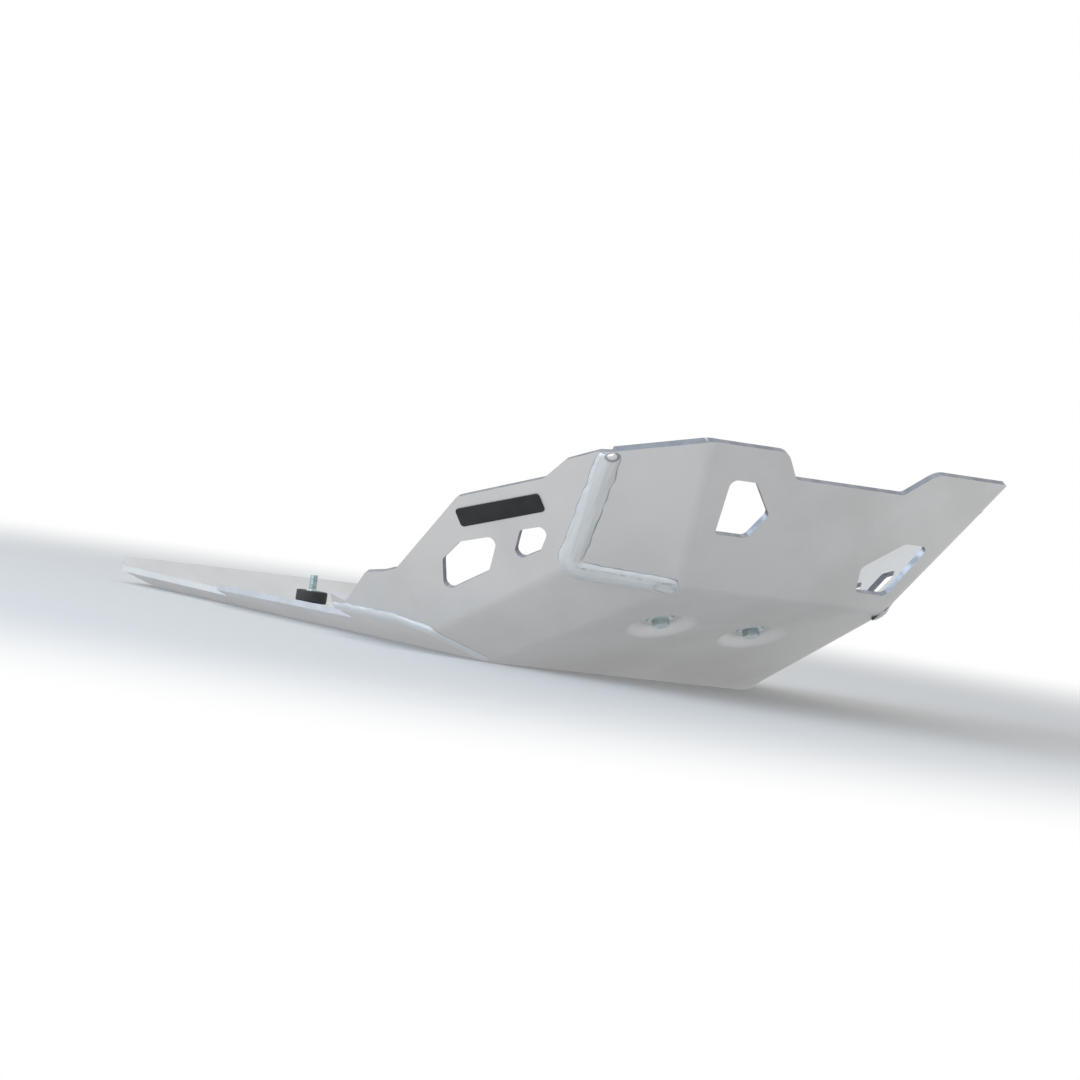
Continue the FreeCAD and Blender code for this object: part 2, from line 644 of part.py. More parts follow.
def ring_body(name, inner, outer, height):
    """Body of a plain ring that stands on its seat."""
    body = doc.addObject("PartDesign::Body", name)
    sketch = seat_sketch(body, f"{name}_rings")
    add_circle(sketch, size("bolt_radius"), inner)
    add_circle(sketch, size("washer_radius"), outer)
    pad = body.newObject("PartDesign::Pad", f"{name}_pad")
    pad.Profile = sketch
    bind(pad, Length=height)
    doc.recompute()
    return body


def bolt_body():
    """Body of a hexagon head bolt, its head's bearing face at the seat and its shank along +Z."""
    body = doc.addObject("PartDesign::Body", "bolt")
    head_sketch = seat_sketch(body, "bolt_hexagon")
    reach = size("bolt_head_flats") / math.sqrt(3)
    corners = [Vector(reach * math.cos(turn * math.pi / 3), reach * math.sin(turn * math.pi / 3), 0)
               for turn in range(6)]
    for index, corner in enumerate(corners):
        head_sketch.addGeometry(Part.LineSegment(corner, corners[(index + 1) % 6]), False)
    rim = head_sketch.addGeometry(Part.Circle(ORIGIN, Vector(0, 0, 1), reach), True)
    head_sketch.addConstraint(Sketcher.Constraint("Coincident", rim, 3, -1, 1))
    for index in range(6):
        head_sketch.addConstraint(Sketcher.Constraint("Coincident", index, 2, (index + 1) % 6, 1))
        head_sketch.addConstraint(Sketcher.Constraint("PointOnObject", index, 1, rim))
    for index in range(5):
        head_sketch.addConstraint(Sketcher.Constraint("Equal", index, index + 1))
    head_sketch.addConstraint(Sketcher.Constraint("PointOnObject", 0, 1, -1))
    number = head_sketch.addConstraint(Sketcher.Constraint("Radius", rim, reach))
    head_sketch.setExpression(f"Constraints[{number}]", "sizes.bolt_head_flats / sqrt(3)")
    head = body.newObject("PartDesign::Pad", "bolt_head")
    head.Profile = head_sketch
    head.Reversed = True
    bind(head, Length="sizes.bolt_head_height")
    grip = "sizes.washer_thickness + sizes.sheet_gauge + sizes.sleeve_height"
    for name, radius, length in (
        ("bolt_shank", "bolt_radius", grip), ("bolt_thread", "thread_radius", "sizes.bolt_length")
    ):
        sketch = seat_sketch(body, f"{name}_circle")
        add_circle(sketch, size(radius), cell(radius))
        pad = body.newObject("PartDesign::Pad", name)
        pad.Profile = sketch
        bind(pad, Length=length)
    doc.recompute()
    return body


def at_mounts(name, body, level):
    """Group of one copy of a body at each mounting point, at a level along the bolt's axis."""
    copies = []
    for number, place in enumerate(MOUNT_POINTS, 1):
        copy = doc.addObject("App::Link", f"{name}_{number}")
        copy.LinkedObject = body
        copy.LinkTransform = False
        copy.Placement = place.multiply(FreeCAD.Placement(Vector(0, 0, level), FreeCAD.Rotation()))
        copies.append(copy)
    group = doc.addObject("Part::Compound", name)
    group.Links = copies
    group.Label = name
    return group


shank_bore = "sizes.bolt_radius + sizes.bolt_clearance"
washer = ring_body("washer", shank_bore, "sizes.washer_radius", "sizes.washer_thickness")
sleeve_rim = f"{shank_bore} + sizes.sleeve_wall"
sleeve = ring_body("sleeve", shank_bore, sleeve_rim, "sizes.sleeve_height")
damper_bore = f"{sleeve_rim} + sizes.damper_clearance"
damper = ring_body("damper", damper_bore, "sizes.damper_radius", "sizes.damper_height")
outer_floor = size("recess_depth")
inner_floor = outer_floor + size("sheet_gauge")
washer_level = outer_floor - size("washer_thickness")
mount_bolts = at_mounts("mount_bolts", bolt_body(), washer_level)
mount_washers = at_mounts("mount_washers", washer, washer_level)
spacer_sleeves = at_mounts("spacer_sleeves", sleeve, inner_floor)
rubber_dampers = at_mounts("rubber_dampers", damper, inner_floor)
doc.recompute()

# Every object is sound before anything is written
NODES = (
    guard_plate, weld_front_right, weld_front_left, weld_rear_right, weld_rear_left, nameplate,
    mount_bolts, mount_washers, spacer_sleeves, rubber_dampers,
)
for item in doc.Objects:
    if "Invalid" in item.State or "Error" in item.State:
        raise RuntimeError(f"{item.Name} failed: {item.State}")
for node in NODES:
    if node.Shape.isNull() or not node.Shape.isValid():
        raise RuntimeError(f"{node.Label} has no valid shape")

os.makedirs("parts", exist_ok=True)
for node in NODES:
    node.Shape.exportStep(os.path.join("parts", f"{node.Label}.step"))
    box = node.Shape.BoundBox
    print(f"{node.Label}: {len(node.Shape.Solids)} solids, {node.Shape.Volume:.0f} mm3, "
          f"x {box.XMin:.1f} to {box.XMax:.1f}, y {box.YMin:.1f} to {box.YMax:.1f}, "
          f"z {box.ZMin:.1f} to {box.ZMax:.1f}")
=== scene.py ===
"""Looks of a motorbike's engine guard: a folded aluminium sheet with welded corners and its fixings.

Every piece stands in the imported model's frame, in metres: +X to the bike's front, +Y to its left, +Z up.
"""
import json
import logging
import math
from dataclasses import dataclass
from enum import Enum

import bmesh
import bpy
from mathutils import Matrix, Vector, noise
from mathutils.bvhtree import BVHTree


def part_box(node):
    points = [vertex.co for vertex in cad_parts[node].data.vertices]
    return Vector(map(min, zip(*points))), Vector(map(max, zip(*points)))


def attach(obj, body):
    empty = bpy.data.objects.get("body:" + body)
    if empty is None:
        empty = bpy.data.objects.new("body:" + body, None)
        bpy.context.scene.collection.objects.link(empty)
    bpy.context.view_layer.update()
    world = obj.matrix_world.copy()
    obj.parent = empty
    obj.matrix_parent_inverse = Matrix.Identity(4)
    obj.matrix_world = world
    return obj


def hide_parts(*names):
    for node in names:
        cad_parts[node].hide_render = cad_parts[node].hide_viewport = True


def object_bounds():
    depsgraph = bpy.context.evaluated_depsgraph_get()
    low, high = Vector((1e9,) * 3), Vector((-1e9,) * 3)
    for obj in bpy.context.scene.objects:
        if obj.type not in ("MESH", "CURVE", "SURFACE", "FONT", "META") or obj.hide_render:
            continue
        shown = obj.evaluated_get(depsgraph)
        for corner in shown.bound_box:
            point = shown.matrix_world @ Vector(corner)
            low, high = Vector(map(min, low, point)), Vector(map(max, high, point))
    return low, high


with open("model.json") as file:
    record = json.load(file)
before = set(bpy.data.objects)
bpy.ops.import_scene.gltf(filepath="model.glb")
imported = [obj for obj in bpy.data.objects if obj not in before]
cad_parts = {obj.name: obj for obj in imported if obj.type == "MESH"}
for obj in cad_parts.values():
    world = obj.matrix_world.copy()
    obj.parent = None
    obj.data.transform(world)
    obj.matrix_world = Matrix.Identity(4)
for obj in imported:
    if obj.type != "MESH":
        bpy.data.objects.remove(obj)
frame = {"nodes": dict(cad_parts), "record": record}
cad_low, cad_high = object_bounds()
log = logging.getLogger("engine_guard")

BMesh = bmesh.types.BMesh
BMVert = bmesh.types.BMVert
Material = bpy.types.Material
Mesh = bpy.types.Mesh
Piece = bpy.types.Object
Socket = bpy.types.NodeSocket
Pair =tuple[float, float]
Triple = tuple[float, float, float]
Colour = tuple[float, float, float, float]
Inputs = dict[str | int, float | Triple | Colour | Socket]
BeadPoint = tuple[Vector, float, float, float]

MILLIMETRE = 0.001
BODY = "root"
SAME_POINT = 0.005 * MILLIMETRE
FLAT_WITHIN = math.radians(0.5)
EASED_FROM = math.radians(50.0)

# Levels of a cloud noise between which one look turns into another
PATCHY: Pair = (0.35, 0.65)
MOTTLED: Pair = (0.35, 0.70)
SPREAD: Pair = (0.30, 0.70)
FULL: Pair = (0.0, 1.0)


# Materials
def opaque(red: float, green: float, blue: float) -> Colour:
    """Opaque colour, in linear light."""
    return red, green, blue, 1.0


WHITE = opaque(1.0, 1.0, 1.0)


class NodeTree:
    """Shader nodes of a material or of the world."""

    def __init__(self, owner: Material | bpy.types.World) -> None:
        """Takes over the owner's nodes.

        Args:
            owner: what the nodes belong to.
        """
        owner.use_nodes = True
        self.nodes = owner.node_tree.nodes
        self.links = owner.node_tree.links

    def put(self, node: bpy.types.Node, inputs: Inputs) -> None:
        """Fills a node's inputs.

        Args:
            node: the node.
            inputs: a constant, or another node's output, for each input.
        """
        for name, value in inputs.items():
            if isinstance(value, Socket):
                self.links.new(value, node.inputs[name])
            else:
                node.inputs[name].default_value = value

    def node(self, kind: str, output: str, inputs: Inputs | None = None, **settings: str) -> Socket:
        """Adds a node.

        Args:
            kind: its type, without the prefix that all share.
            output: which output is used.
            inputs: its inputs, or nothing for their defaults.
            settings: its other properties.

        Returns:
            The output.
        """
        node = self.nodes.new(f"ShaderNode{kind}")
        for name, value in settings.items():
            setattr(node, name, value)
        self.put(node, inputs or {})
        return node.outputs[output]

    def math(self, operation: str, first: Socket, second: Socket) -> Socket:
        """Two values combined by an operation."""
        return self.node("Math", "Value", {0: first, 1: second}, operation=operation)

    def span(self, source: Socket, levels: Pair, results: Pair = FULL) -> Socket:
        """A value mapped smoothly from two of its levels to what it becomes there."""
        ends = dict(zip(("From Min", "From Max", "To Min", "To Max"), (*levels, *results)))
        return self.node("MapRange", "Result", {"Value": source, **ends}, interpolation_type="SMOOTHSTEP")


class Surface(NodeTree):
    """A material with a principled shader, laid out in the piece's own coordinates."""

    def __init__(self, name: str) -> None:
        """Starts the material.

        Args:
            name: the material's name.
        """
        self.material = bpy.data.materials.new(name)
        super().__init__(self.material)
        self.place = self.node("TexCoord", "Object")

    def noise(self, scale: float | Triple, detail: float, place: Socket | None = None) -> Socket:
        """Cloud noise over the piece.

        Args:
            scale: features per metre, along each axis if they differ.
            detail: how many finer layers it has.
            place: where it is read, or nothing for the piece's own coordinates.

        Returns:
            The noise's value, from 0 to 1.
        """
        axes = scale if isinstance(scale, tuple) else (scale, scale, scale)
        place = self.node("Mapping", "Vector", {"Vector": place or self.place, "Scale": axes})
        return self.node("TexNoise", "Fac", {"Vector": place, "Scale": 1.0, "Detail": detail})

    def attribute(self, name: str) -> Socket:
        """A value that the mesh carries at its points."""
        return self.node("Attribute", "Fac", attribute_name=name)

    def tint(self, share: Socket, first: Colour | Socket, second: Colour) -> Socket:
        """Colour that goes from a first one, at a share of 0, to a second one, at 1."""
        return self.node("Mix", "Result", {"Factor": share, "A": first, "B": second}, data_type="RGBA")

    def relief(self, height: Socket, depth: float, strength: float) -> Socket:
        """Normal of a fine relief: its height from 0 to 1, its depth in metres and the share that shows."""
        return self.node("Bump", "Normal", {"Height": height, "Distance": depth, "Strength": strength})

    def dressed(self, **inputs: float | Socket) -> Material:
        """Fills the shader's inputs.

        Args:
            inputs: the inputs' names, with underscores for spaces, and what they get.

        Returns:
            The finished material.
        """
        named = {name.replace("_", " "): value for name, value in inputs.items()}
        self.put(self.nodes["Principled BSDF"], named)
        return self.material


@dataclass(frozen=True)
class RawAluminium:
    """Matte skin of the sheet, with cloudy patches, faint handling marks, a painted highlight on the
    recesses' slopes and a fine blasted grain.
    """

    light: Colour = opaque(0.570, 0.573, 0.577)
    shade: Colour = opaque(0.534, 0.536, 0.537)
    stain: Colour = opaque(0.480, 0.479, 0.474)
    # Colour of the painted highlight on the recesses' slopes
    drawn: Colour = opaque(0.690, 0.692, 0.696)
    cloud_scale: float = 14.0
    mark_scale: Triple = (26.0, 9.0, 26.0)
    mark_levels: Pair = (0.60, 0.78)
    mark_shares: Pair = (0.0, 0.55)
    grain_scale: float = 1500.0
    grain_depth: float = 0.06 * MILLIMETRE
    roughness: Pair = (0.50, 0.58)

    def material(self) -> Material:
        """Builds the material.

        Returns:
            The finished material.
        """
        tree = Surface("raw_aluminium")
        clouds = tree.noise(self.cloud_scale, detail=5.0)
        marks = tree.noise(self.mark_scale, detail=6.0)
        skin = tree.tint(tree.span(clouds, PATCHY), self.light, self.shade)
        skin = tree.tint(tree.span(marks, self.mark_levels, self.mark_shares), skin, self.stain)
        return tree.dressed(
            Metallic=1.0,
            # Painted highlight: the recesses' slopes are lightened where the mesh marks them
            Base_Color=tree.tint(tree.attribute("drawn"), skin, self.drawn),
            Roughness=tree.span(clouds, SPREAD, self.roughness),
            Normal=tree.relief(tree.noise(self.grain_scale, detail=2.0), self.grain_depth, strength=0.5),
        )


@dataclass(frozen=True)
class CutEdge:
    """Cut edge of the sheet: bluish grey and dull, with a painted reflection of the floor that makes it
    bright low down, round the tray.
    """

    dull: Colour = opaque(0.270, 0.285, 0.320)
    patch: Colour = opaque(0.210, 0.225, 0.255)
    # Colour of the painted reflection of the floor, on the edges low down
    painted_floor_reflection: Colour = opaque(0.500, 0.520, 0.560)
    dull_from: float = 55.0 * MILLIMETRE
    # Height below which the painted reflection of the floor is full
    floor_reflection_below: float = 30.0 * MILLIMETRE
    patch_scale: float = 120.0
    line_scale: float = 1600.0
    line_depth: float = 0.03 * MILLIMETRE
    roughness: Pair = (0.34, 0.50)

    def material(self) -> Material:
        """Builds the material.

        Returns:
            The finished material.
        """
        tree = Surface("cut_edge")
        patches = tree.noise(self.patch_scale, detail=3.0)
        level = tree.node("SeparateXYZ", "Z", {"Vector": tree.place})
        skin = tree.tint(tree.span(patches, SPREAD), self.dull, self.patch)
        return tree.dressed(
            Metallic=1.0,
            # Painted reflection of the floor: the edges turn bright below a set height
            Base_Color=tree.tint(tree.span(level, (self.dull_from, self.floor_reflection_below)), skin, self.painted_floor_reflection),
            Roughness=tree.span(patches, SPREAD, self.roughness),
            Normal=tree.relief(tree.noise(self.line_scale, detail=2.0), self.line_depth, strength=0.3),
        )


@dataclass(frozen=True)
class WeldMetal:
    """Weld metal: brighter and bluer than the sheet, streaked along the bead and dark along its toes, from
    soot and from painted shade where the bead meets the sheet.
    """

    light: Colour = opaque(0.595, 0.615, 0.630)
    shade: Colour = opaque(0.543, 0.562, 0.575)
    # Dark colour for soot, and for painted shade along the toes
    soot: Colour = opaque(0.130, 0.138, 0.155)
    streak_scale: Triple = (3.0, 24.0, 1.0)
    grain_scale: float = 900.0
    grain_depth: float = 0.05 * MILLIMETRE
    roughness: Pair = (0.56, 0.66)
    shine_levels: Pair = (0.0, 0.6)
    smoothing: Pair = (0.0, -0.46)

    def material(self) -> Material:
        """Builds the material.

        Returns:
            The finished material.
        """
        tree = Surface("weld_metal")
        sides = {"X": tree.attribute("across"), "Y": tree.attribute("along")}
        streaks = tree.noise(self.streak_scale, detail=3.0, place=tree.node("CombineXYZ", "Vector", sides))
        metal = tree.tint(tree.span(streaks, PATCHY), self.light, self.shade)
        rough = tree.span(streaks, SPREAD, self.roughness)
        smoother = tree.span(tree.attribute("shine"), self.shine_levels, self.smoothing)
        return tree.dressed(
            Metallic=1.0,
            # Darkened where the mesh says: soot, and painted shade along the toes
            Base_Color=tree.tint(tree.attribute("soot"), metal, self.soot),
            Roughness=tree.math("ADD", rough, smoother),
            Normal=tree.relief(tree.noise(self.grain_scale, detail=2.0), self.grain_depth, strength=0.4),
        )


@dataclass(frozen=True)
class ZincPlating:
    """Clear zinc plating with a slight teal tint and a mottled sheen."""

    light: Colour = opaque(0.540, 0.610, 0.620)
    shade: Colour = opaque(0.430, 0.500, 0.515)
    mottle_scale: float = 160.0
    mottle_depth: float = 0.03 * MILLIMETRE
    roughness: Pair = (0.26, 0.42)

    def material(self) -> Material:
        """Builds the material.

        Returns:
            The finished material.
        """
        tree = Surface("zinc_plating")
        mottle = tree.noise(self.mottle_scale, detail=3.0)
        return tree.dressed(
            Metallic=1.0,
            Base_Color=tree.tint(tree.span(mottle, MOTTLED), self.light, self.shade),
            Roughness=tree.span(mottle, SPREAD, self.roughness),
            Normal=tree.relief(mottle, self.mottle_depth, strength=0.4),
        )


@dataclass(frozen=True)
class DamperRubber:
    """Black rubber with a dusty bloom."""

    light: Colour = opaque(0.036, 0.036, 0.037)
    shade: Colour = opaque(0.014, 0.014, 0.015)
    bloom_scale: float = 260.0
    grain_scale: float = 1800.0
    grain_depth: float = 0.08 * MILLIMETRE
    roughness: Pair = (0.62, 0.82)

    def material(self) -> Material:
        """Builds the material.

        Returns:
            The finished material.
        """
        tree = Surface("damper_rubber")
        bloom = tree.noise(self.bloom_scale, detail=4.0)
        return tree.dressed(
            Base_Color=tree.tint(tree.span(bloom, MOTTLED), self.shade, self.light),
            Roughness=tree.span(bloom, SPREAD, self.roughness),
            Normal=tree.relief(tree.noise(self.grain_scale, detail=2.0), self.grain_depth, strength=0.5),
        )


@dataclass(frozen=True)
class PlateLacquer:
    """Dark anthracite lacquer of the nameplate, satin, with a fine pebble grain."""

    light: Colour = opaque(0.018, 0.018, 0.019)
    shade: Colour = opaque(0.011, 0.011, 0.012)
    specular: float = 0.25
    cloud_scale: float = 60.0
    pebble_scale: float = 1400.0
    pebble_depth: float = 0.04 * MILLIMETRE
    roughness: Pair = (0.42, 0.55)

    def material(self) -> Material:
        """Builds the material.

        Returns:
            The finished material.
        """
        tree = Surface("plate_lacquer")
        clouds = tree.noise(self.cloud_scale, detail=3.0)
        pebble = tree.noise(self.pebble_scale, detail=3.0)
        return tree.dressed(
            Specular_IOR_Level=self.specular,
            Base_Color=tree.tint(tree.span(clouds, PATCHY), self.shade, self.light),
            Roughness=tree.span(pebble, SPREAD, self.roughness),
            Normal=tree.relief(pebble, self.pebble_depth, strength=0.5),
        )


# Geometry
@dataclass(frozen=True)
class Plane:
    """A flat face: a point on it and its outward normal."""

    point: Vector
    normal: Vector

    def sunk(self, depth: float) -> "Plane":
        """The plane moved into the sheet by a depth."""
        return Plane(self.point - self.normal * depth, self.normal)

    def meet(self, second: "Plane", third: "Plane") -> Vector:
        """Point that three planes share.

        Args:
            second: another plane.
            third: a third plane.

        Returns:
            The point.
        """
        rows = Matrix((self.normal, second.normal, third.normal))
        levels = Vector([plane.point.dot(plane.normal) for plane in (self, second, third)])
        return rows.inverted() @ levels


class Side(Enum):
    """Side of the bike, with the sign of +Y for what is worked out on the right."""

    RIGHT = 1
    LEFT = -1

    def of(self, vector: Vector) -> Vector:
        """A point or direction of the right side, on this side."""
        return Vector((vector.x, vector.y * self.value, vector.z))


class Panel(Enum):
    """Outer faces of the sheet that a weld meets, each with its rough outward direction on the right."""

    CHAMFER = (0.43, -0.49, -0.76)
    FLANGE = (-0.01, -0.34, -0.94)
    WALL = (0.31, -0.82, -0.47)
    EAR = (-0.05, -0.88, -0.47)
    FACET = (0.54, -0.61, -0.58)

    def plane(self, mesh: Mesh, within: float = math.radians(4.0)) -> Plane:
        """Finds the panel's plane among a mesh's faces.

        Args:
            mesh: the sheet.
            within: angle by which a face may turn from the rough direction.

        Returns:
            The plane of the largest flat face that looks the panel's way.
        """
        rough = Vector(self.value).normalized()
        facing = [face for face in mesh.polygons if face.normal.dot(rough) > math.cos(within)]
        largest = max(facing, key=lambda face: face.area)
        return Plane(largest.center.copy(), largest.normal.copy())


class MeshDraft:
    """Points and faces of a mesh in the making, with values at its points."""

    def __init__(self) -> None:
        """Starts with nothing."""
        self.points: list[Vector] = []
        self.faces: list[tuple[int, ...]] = []
        self.values: dict[str, list[float]] = {}

    def ring(self, points: list[Vector], **values: list[float]) -> list[int]:
        """Adds points.

        Args:
            points: the points.
            values: named values at them.

        Returns:
            The points' numbers.
        """
        start = len(self.points)
        self.points.extend(points)
        for name, numbers in values.items():
            self.values.setdefault(name, []).extend(numbers)
        return list(range(start, len(self.points)))

    def circle(self, place: Matrix, radii: list[float], levels: list[float]) -> list[int]:
        """Adds points evenly round an axis.

        Args:
            place: frame whose third axis it is.
            radii: each point's distance from the axis.
            levels: each point's height along it.

        Returns:
            The points' numbers.
        """
        points = []
        for turn, (radius, level) in enumerate(zip(radii, levels)):
            angle = 2 * math.pi * turn / len(radii)
            points.append(place @ Vector((radius * math.cos(angle), radius * math.sin(angle), level)))
        return self.ring(points)

    def strip(self, first: list[int], second: list[int]) -> None:
        """Closed strip of faces between two rings of as many points."""
        for index in range(len(first)):
            after = (index + 1) % len(first)
            self.faces.append((first[index], first[after], second[after], second[index]))

    def skin(self, rings: list[list[int]], closed: bool = False) -> None:
        """Faces over a row of rings.

        Args:
            rings: the rings, in order.
            closed: true to join the last ring to the first, otherwise both ends are capped.
        """
        for first, second in zip(rings, rings[1:]):
            self.strip(first, second)
        if closed:
            self.strip(rings[-1], rings[0])
        else:
            self.faces += [tuple(rings[0][::-1]), tuple(rings[-1])]

    def piece(self, name: str, material: Material, smooth_to: float) -> Piece:
        """Makes the piece.

        Args:
            name: the piece's name.
            material: its material.
            smooth_to: largest angle in degrees between faces that shade as one.

        Returns:
            The new object, in the scene.
        """
        mesh = bpy.data.meshes.new(name)
        mesh.from_pydata(self.points, [], self.faces)
        for key, numbers in self.values.items():
            layer = mesh.attributes.new(key, "FLOAT", "POINT")
            layer.data.foreach_set("value", numbers)
        return finished(mesh, [material], smooth_to)


def finished(mesh: Mesh, materials: list[Material], smooth_to: float) -> Piece:
    """Turns a mesh into a piece of the same name that rides on the guard.

    Args:
        mesh: the mesh.
        materials: its materials.
        smooth_to: largest angle in degrees between faces that shade as one.

    Returns:
        The new object, in the scene.
    """
    mesh.update()
    mesh.polygons.foreach_set("use_smooth", [True] * len(mesh.polygons))
    mesh.set_sharp_from_angle(angle=math.radians(smooth_to))
    for material in materials:
        mesh.materials.append(material)
    piece = bpy.data.objects.new(mesh.name, mesh)
    bpy.context.scene.collection.objects.link(piece)
    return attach(piece, BODY)


def merged_copy(node: str) -> BMesh:
    """A solid of the frame, its facets joined at their corners.

    Args:
        node: the solid's node.

    Returns:
        The copy, to work on.
    """
    draft = bmesh.new()
    draft.from_mesh(frame["nodes"][node].data)
    bmesh.ops.remove_doubles(draft, verts=draft.verts, dist=SAME_POINT)
    return draft


def flat_mesh(draft: BMesh, name: str) -> Mesh:
    """Turns a copy into a mesh whose flat panels are single faces.

    Args:
        draft: the copy, which is used up.
        name: the mesh's name.

    Returns:
        The mesh.
    """
    bmesh.ops.dissolve_limit(draft, angle_limit=FLAT_WITHIN, verts=draft.verts, edges=draft.edges)
    bmesh.ops.recalc_face_normals(draft, faces=draft.faces)
    draft.verts.index_update()
    mesh = bpy.data.meshes.new(name)
    corners = [tuple(vertex.index for vertex in face.verts) for face in draft.faces]
    mesh.from_pydata([vertex.co for vertex in draft.verts], [], corners)
    draft.free()
    return mesh


def ease_edges(piece: Piece, width: float, segments: int) -> None:
    """Rounds a piece's sharp edges.

    Args:
        piece: the piece.
        width: width of the rounding.
        segments: faces across it.
    """
    ease = piece.modifiers.new("eased_edges", "BEVEL")
    ease.width = width
    ease.segments = segments
    ease.limit_method = "ANGLE"
    ease.angle_limit = EASED_FROM


# Where the guard is bolted on
@dataclass(frozen=True)
class Reach:
    """Levels and radii between which a turned solid lies."""

    low: float
    high: float
    bore: float
    rim: float


@dataclass(frozen=True)
class MountPoint:
    """One stud: the top of its spacer sleeve, the direction of its thread, and how far its pieces reach."""

    seat: Vector
    axis: Vector
    nearby: float = 20.0 * MILLIMETRE

    def place(self) -> Matrix:
        """Frame at the stud's seat, its third axis along the stud."""
        turn = self.axis.to_track_quat("Z", "Y").to_matrix().to_4x4()
        return Matrix.Translation(self.seat) @ turn

    def turn(self, point: Vector) -> float:
        """Angle of a point round the axis."""
        local = self.place().inverted() @ point
        return math.atan2(local.y, local.x)

    def parts(self, point: Vector) -> Pair:
        """Level of a point above the seat, and its distance from the axis."""
        level = (point - self.seat).dot(self.axis)
        return level, (point - self.seat - self.axis * level).length

    def reach(self, node: str) -> Reach:
        """Extent of a solid of the frame about the axis.

        Args:
            node: the solid's node.

        Returns:
            Its levels and radii.
        """
        found = [self.parts(vertex.co) for vertex in frame["nodes"][node].data.vertices]
        found = [(level, far) for level, far in found if far < self.nearby and abs(level) < 2 * self.nearby]
        levels, radii = zip(*found)
        return Reach(min(levels), max(levels), min(radii), max(radii))


def mount_points() -> list[MountPoint]:
    """Studs of the record's bolt patterns.

    Returns:
        The four studs, a pair for each pattern.
    """
    points = []
    for mount in frame["record"]["mounts"]:
        if mount["kind"] == "bolt_pattern":
            half = Vector((0, mount["dims"]["pcd_mm"] * MILLIMETRE / 2, 0))
            middle = Vector(mount["pos_m"])
            axis = Vector(mount["axis"]).normalized()
            points += [MountPoint(middle - half, axis), MountPoint(middle + half, axis)]
    return points


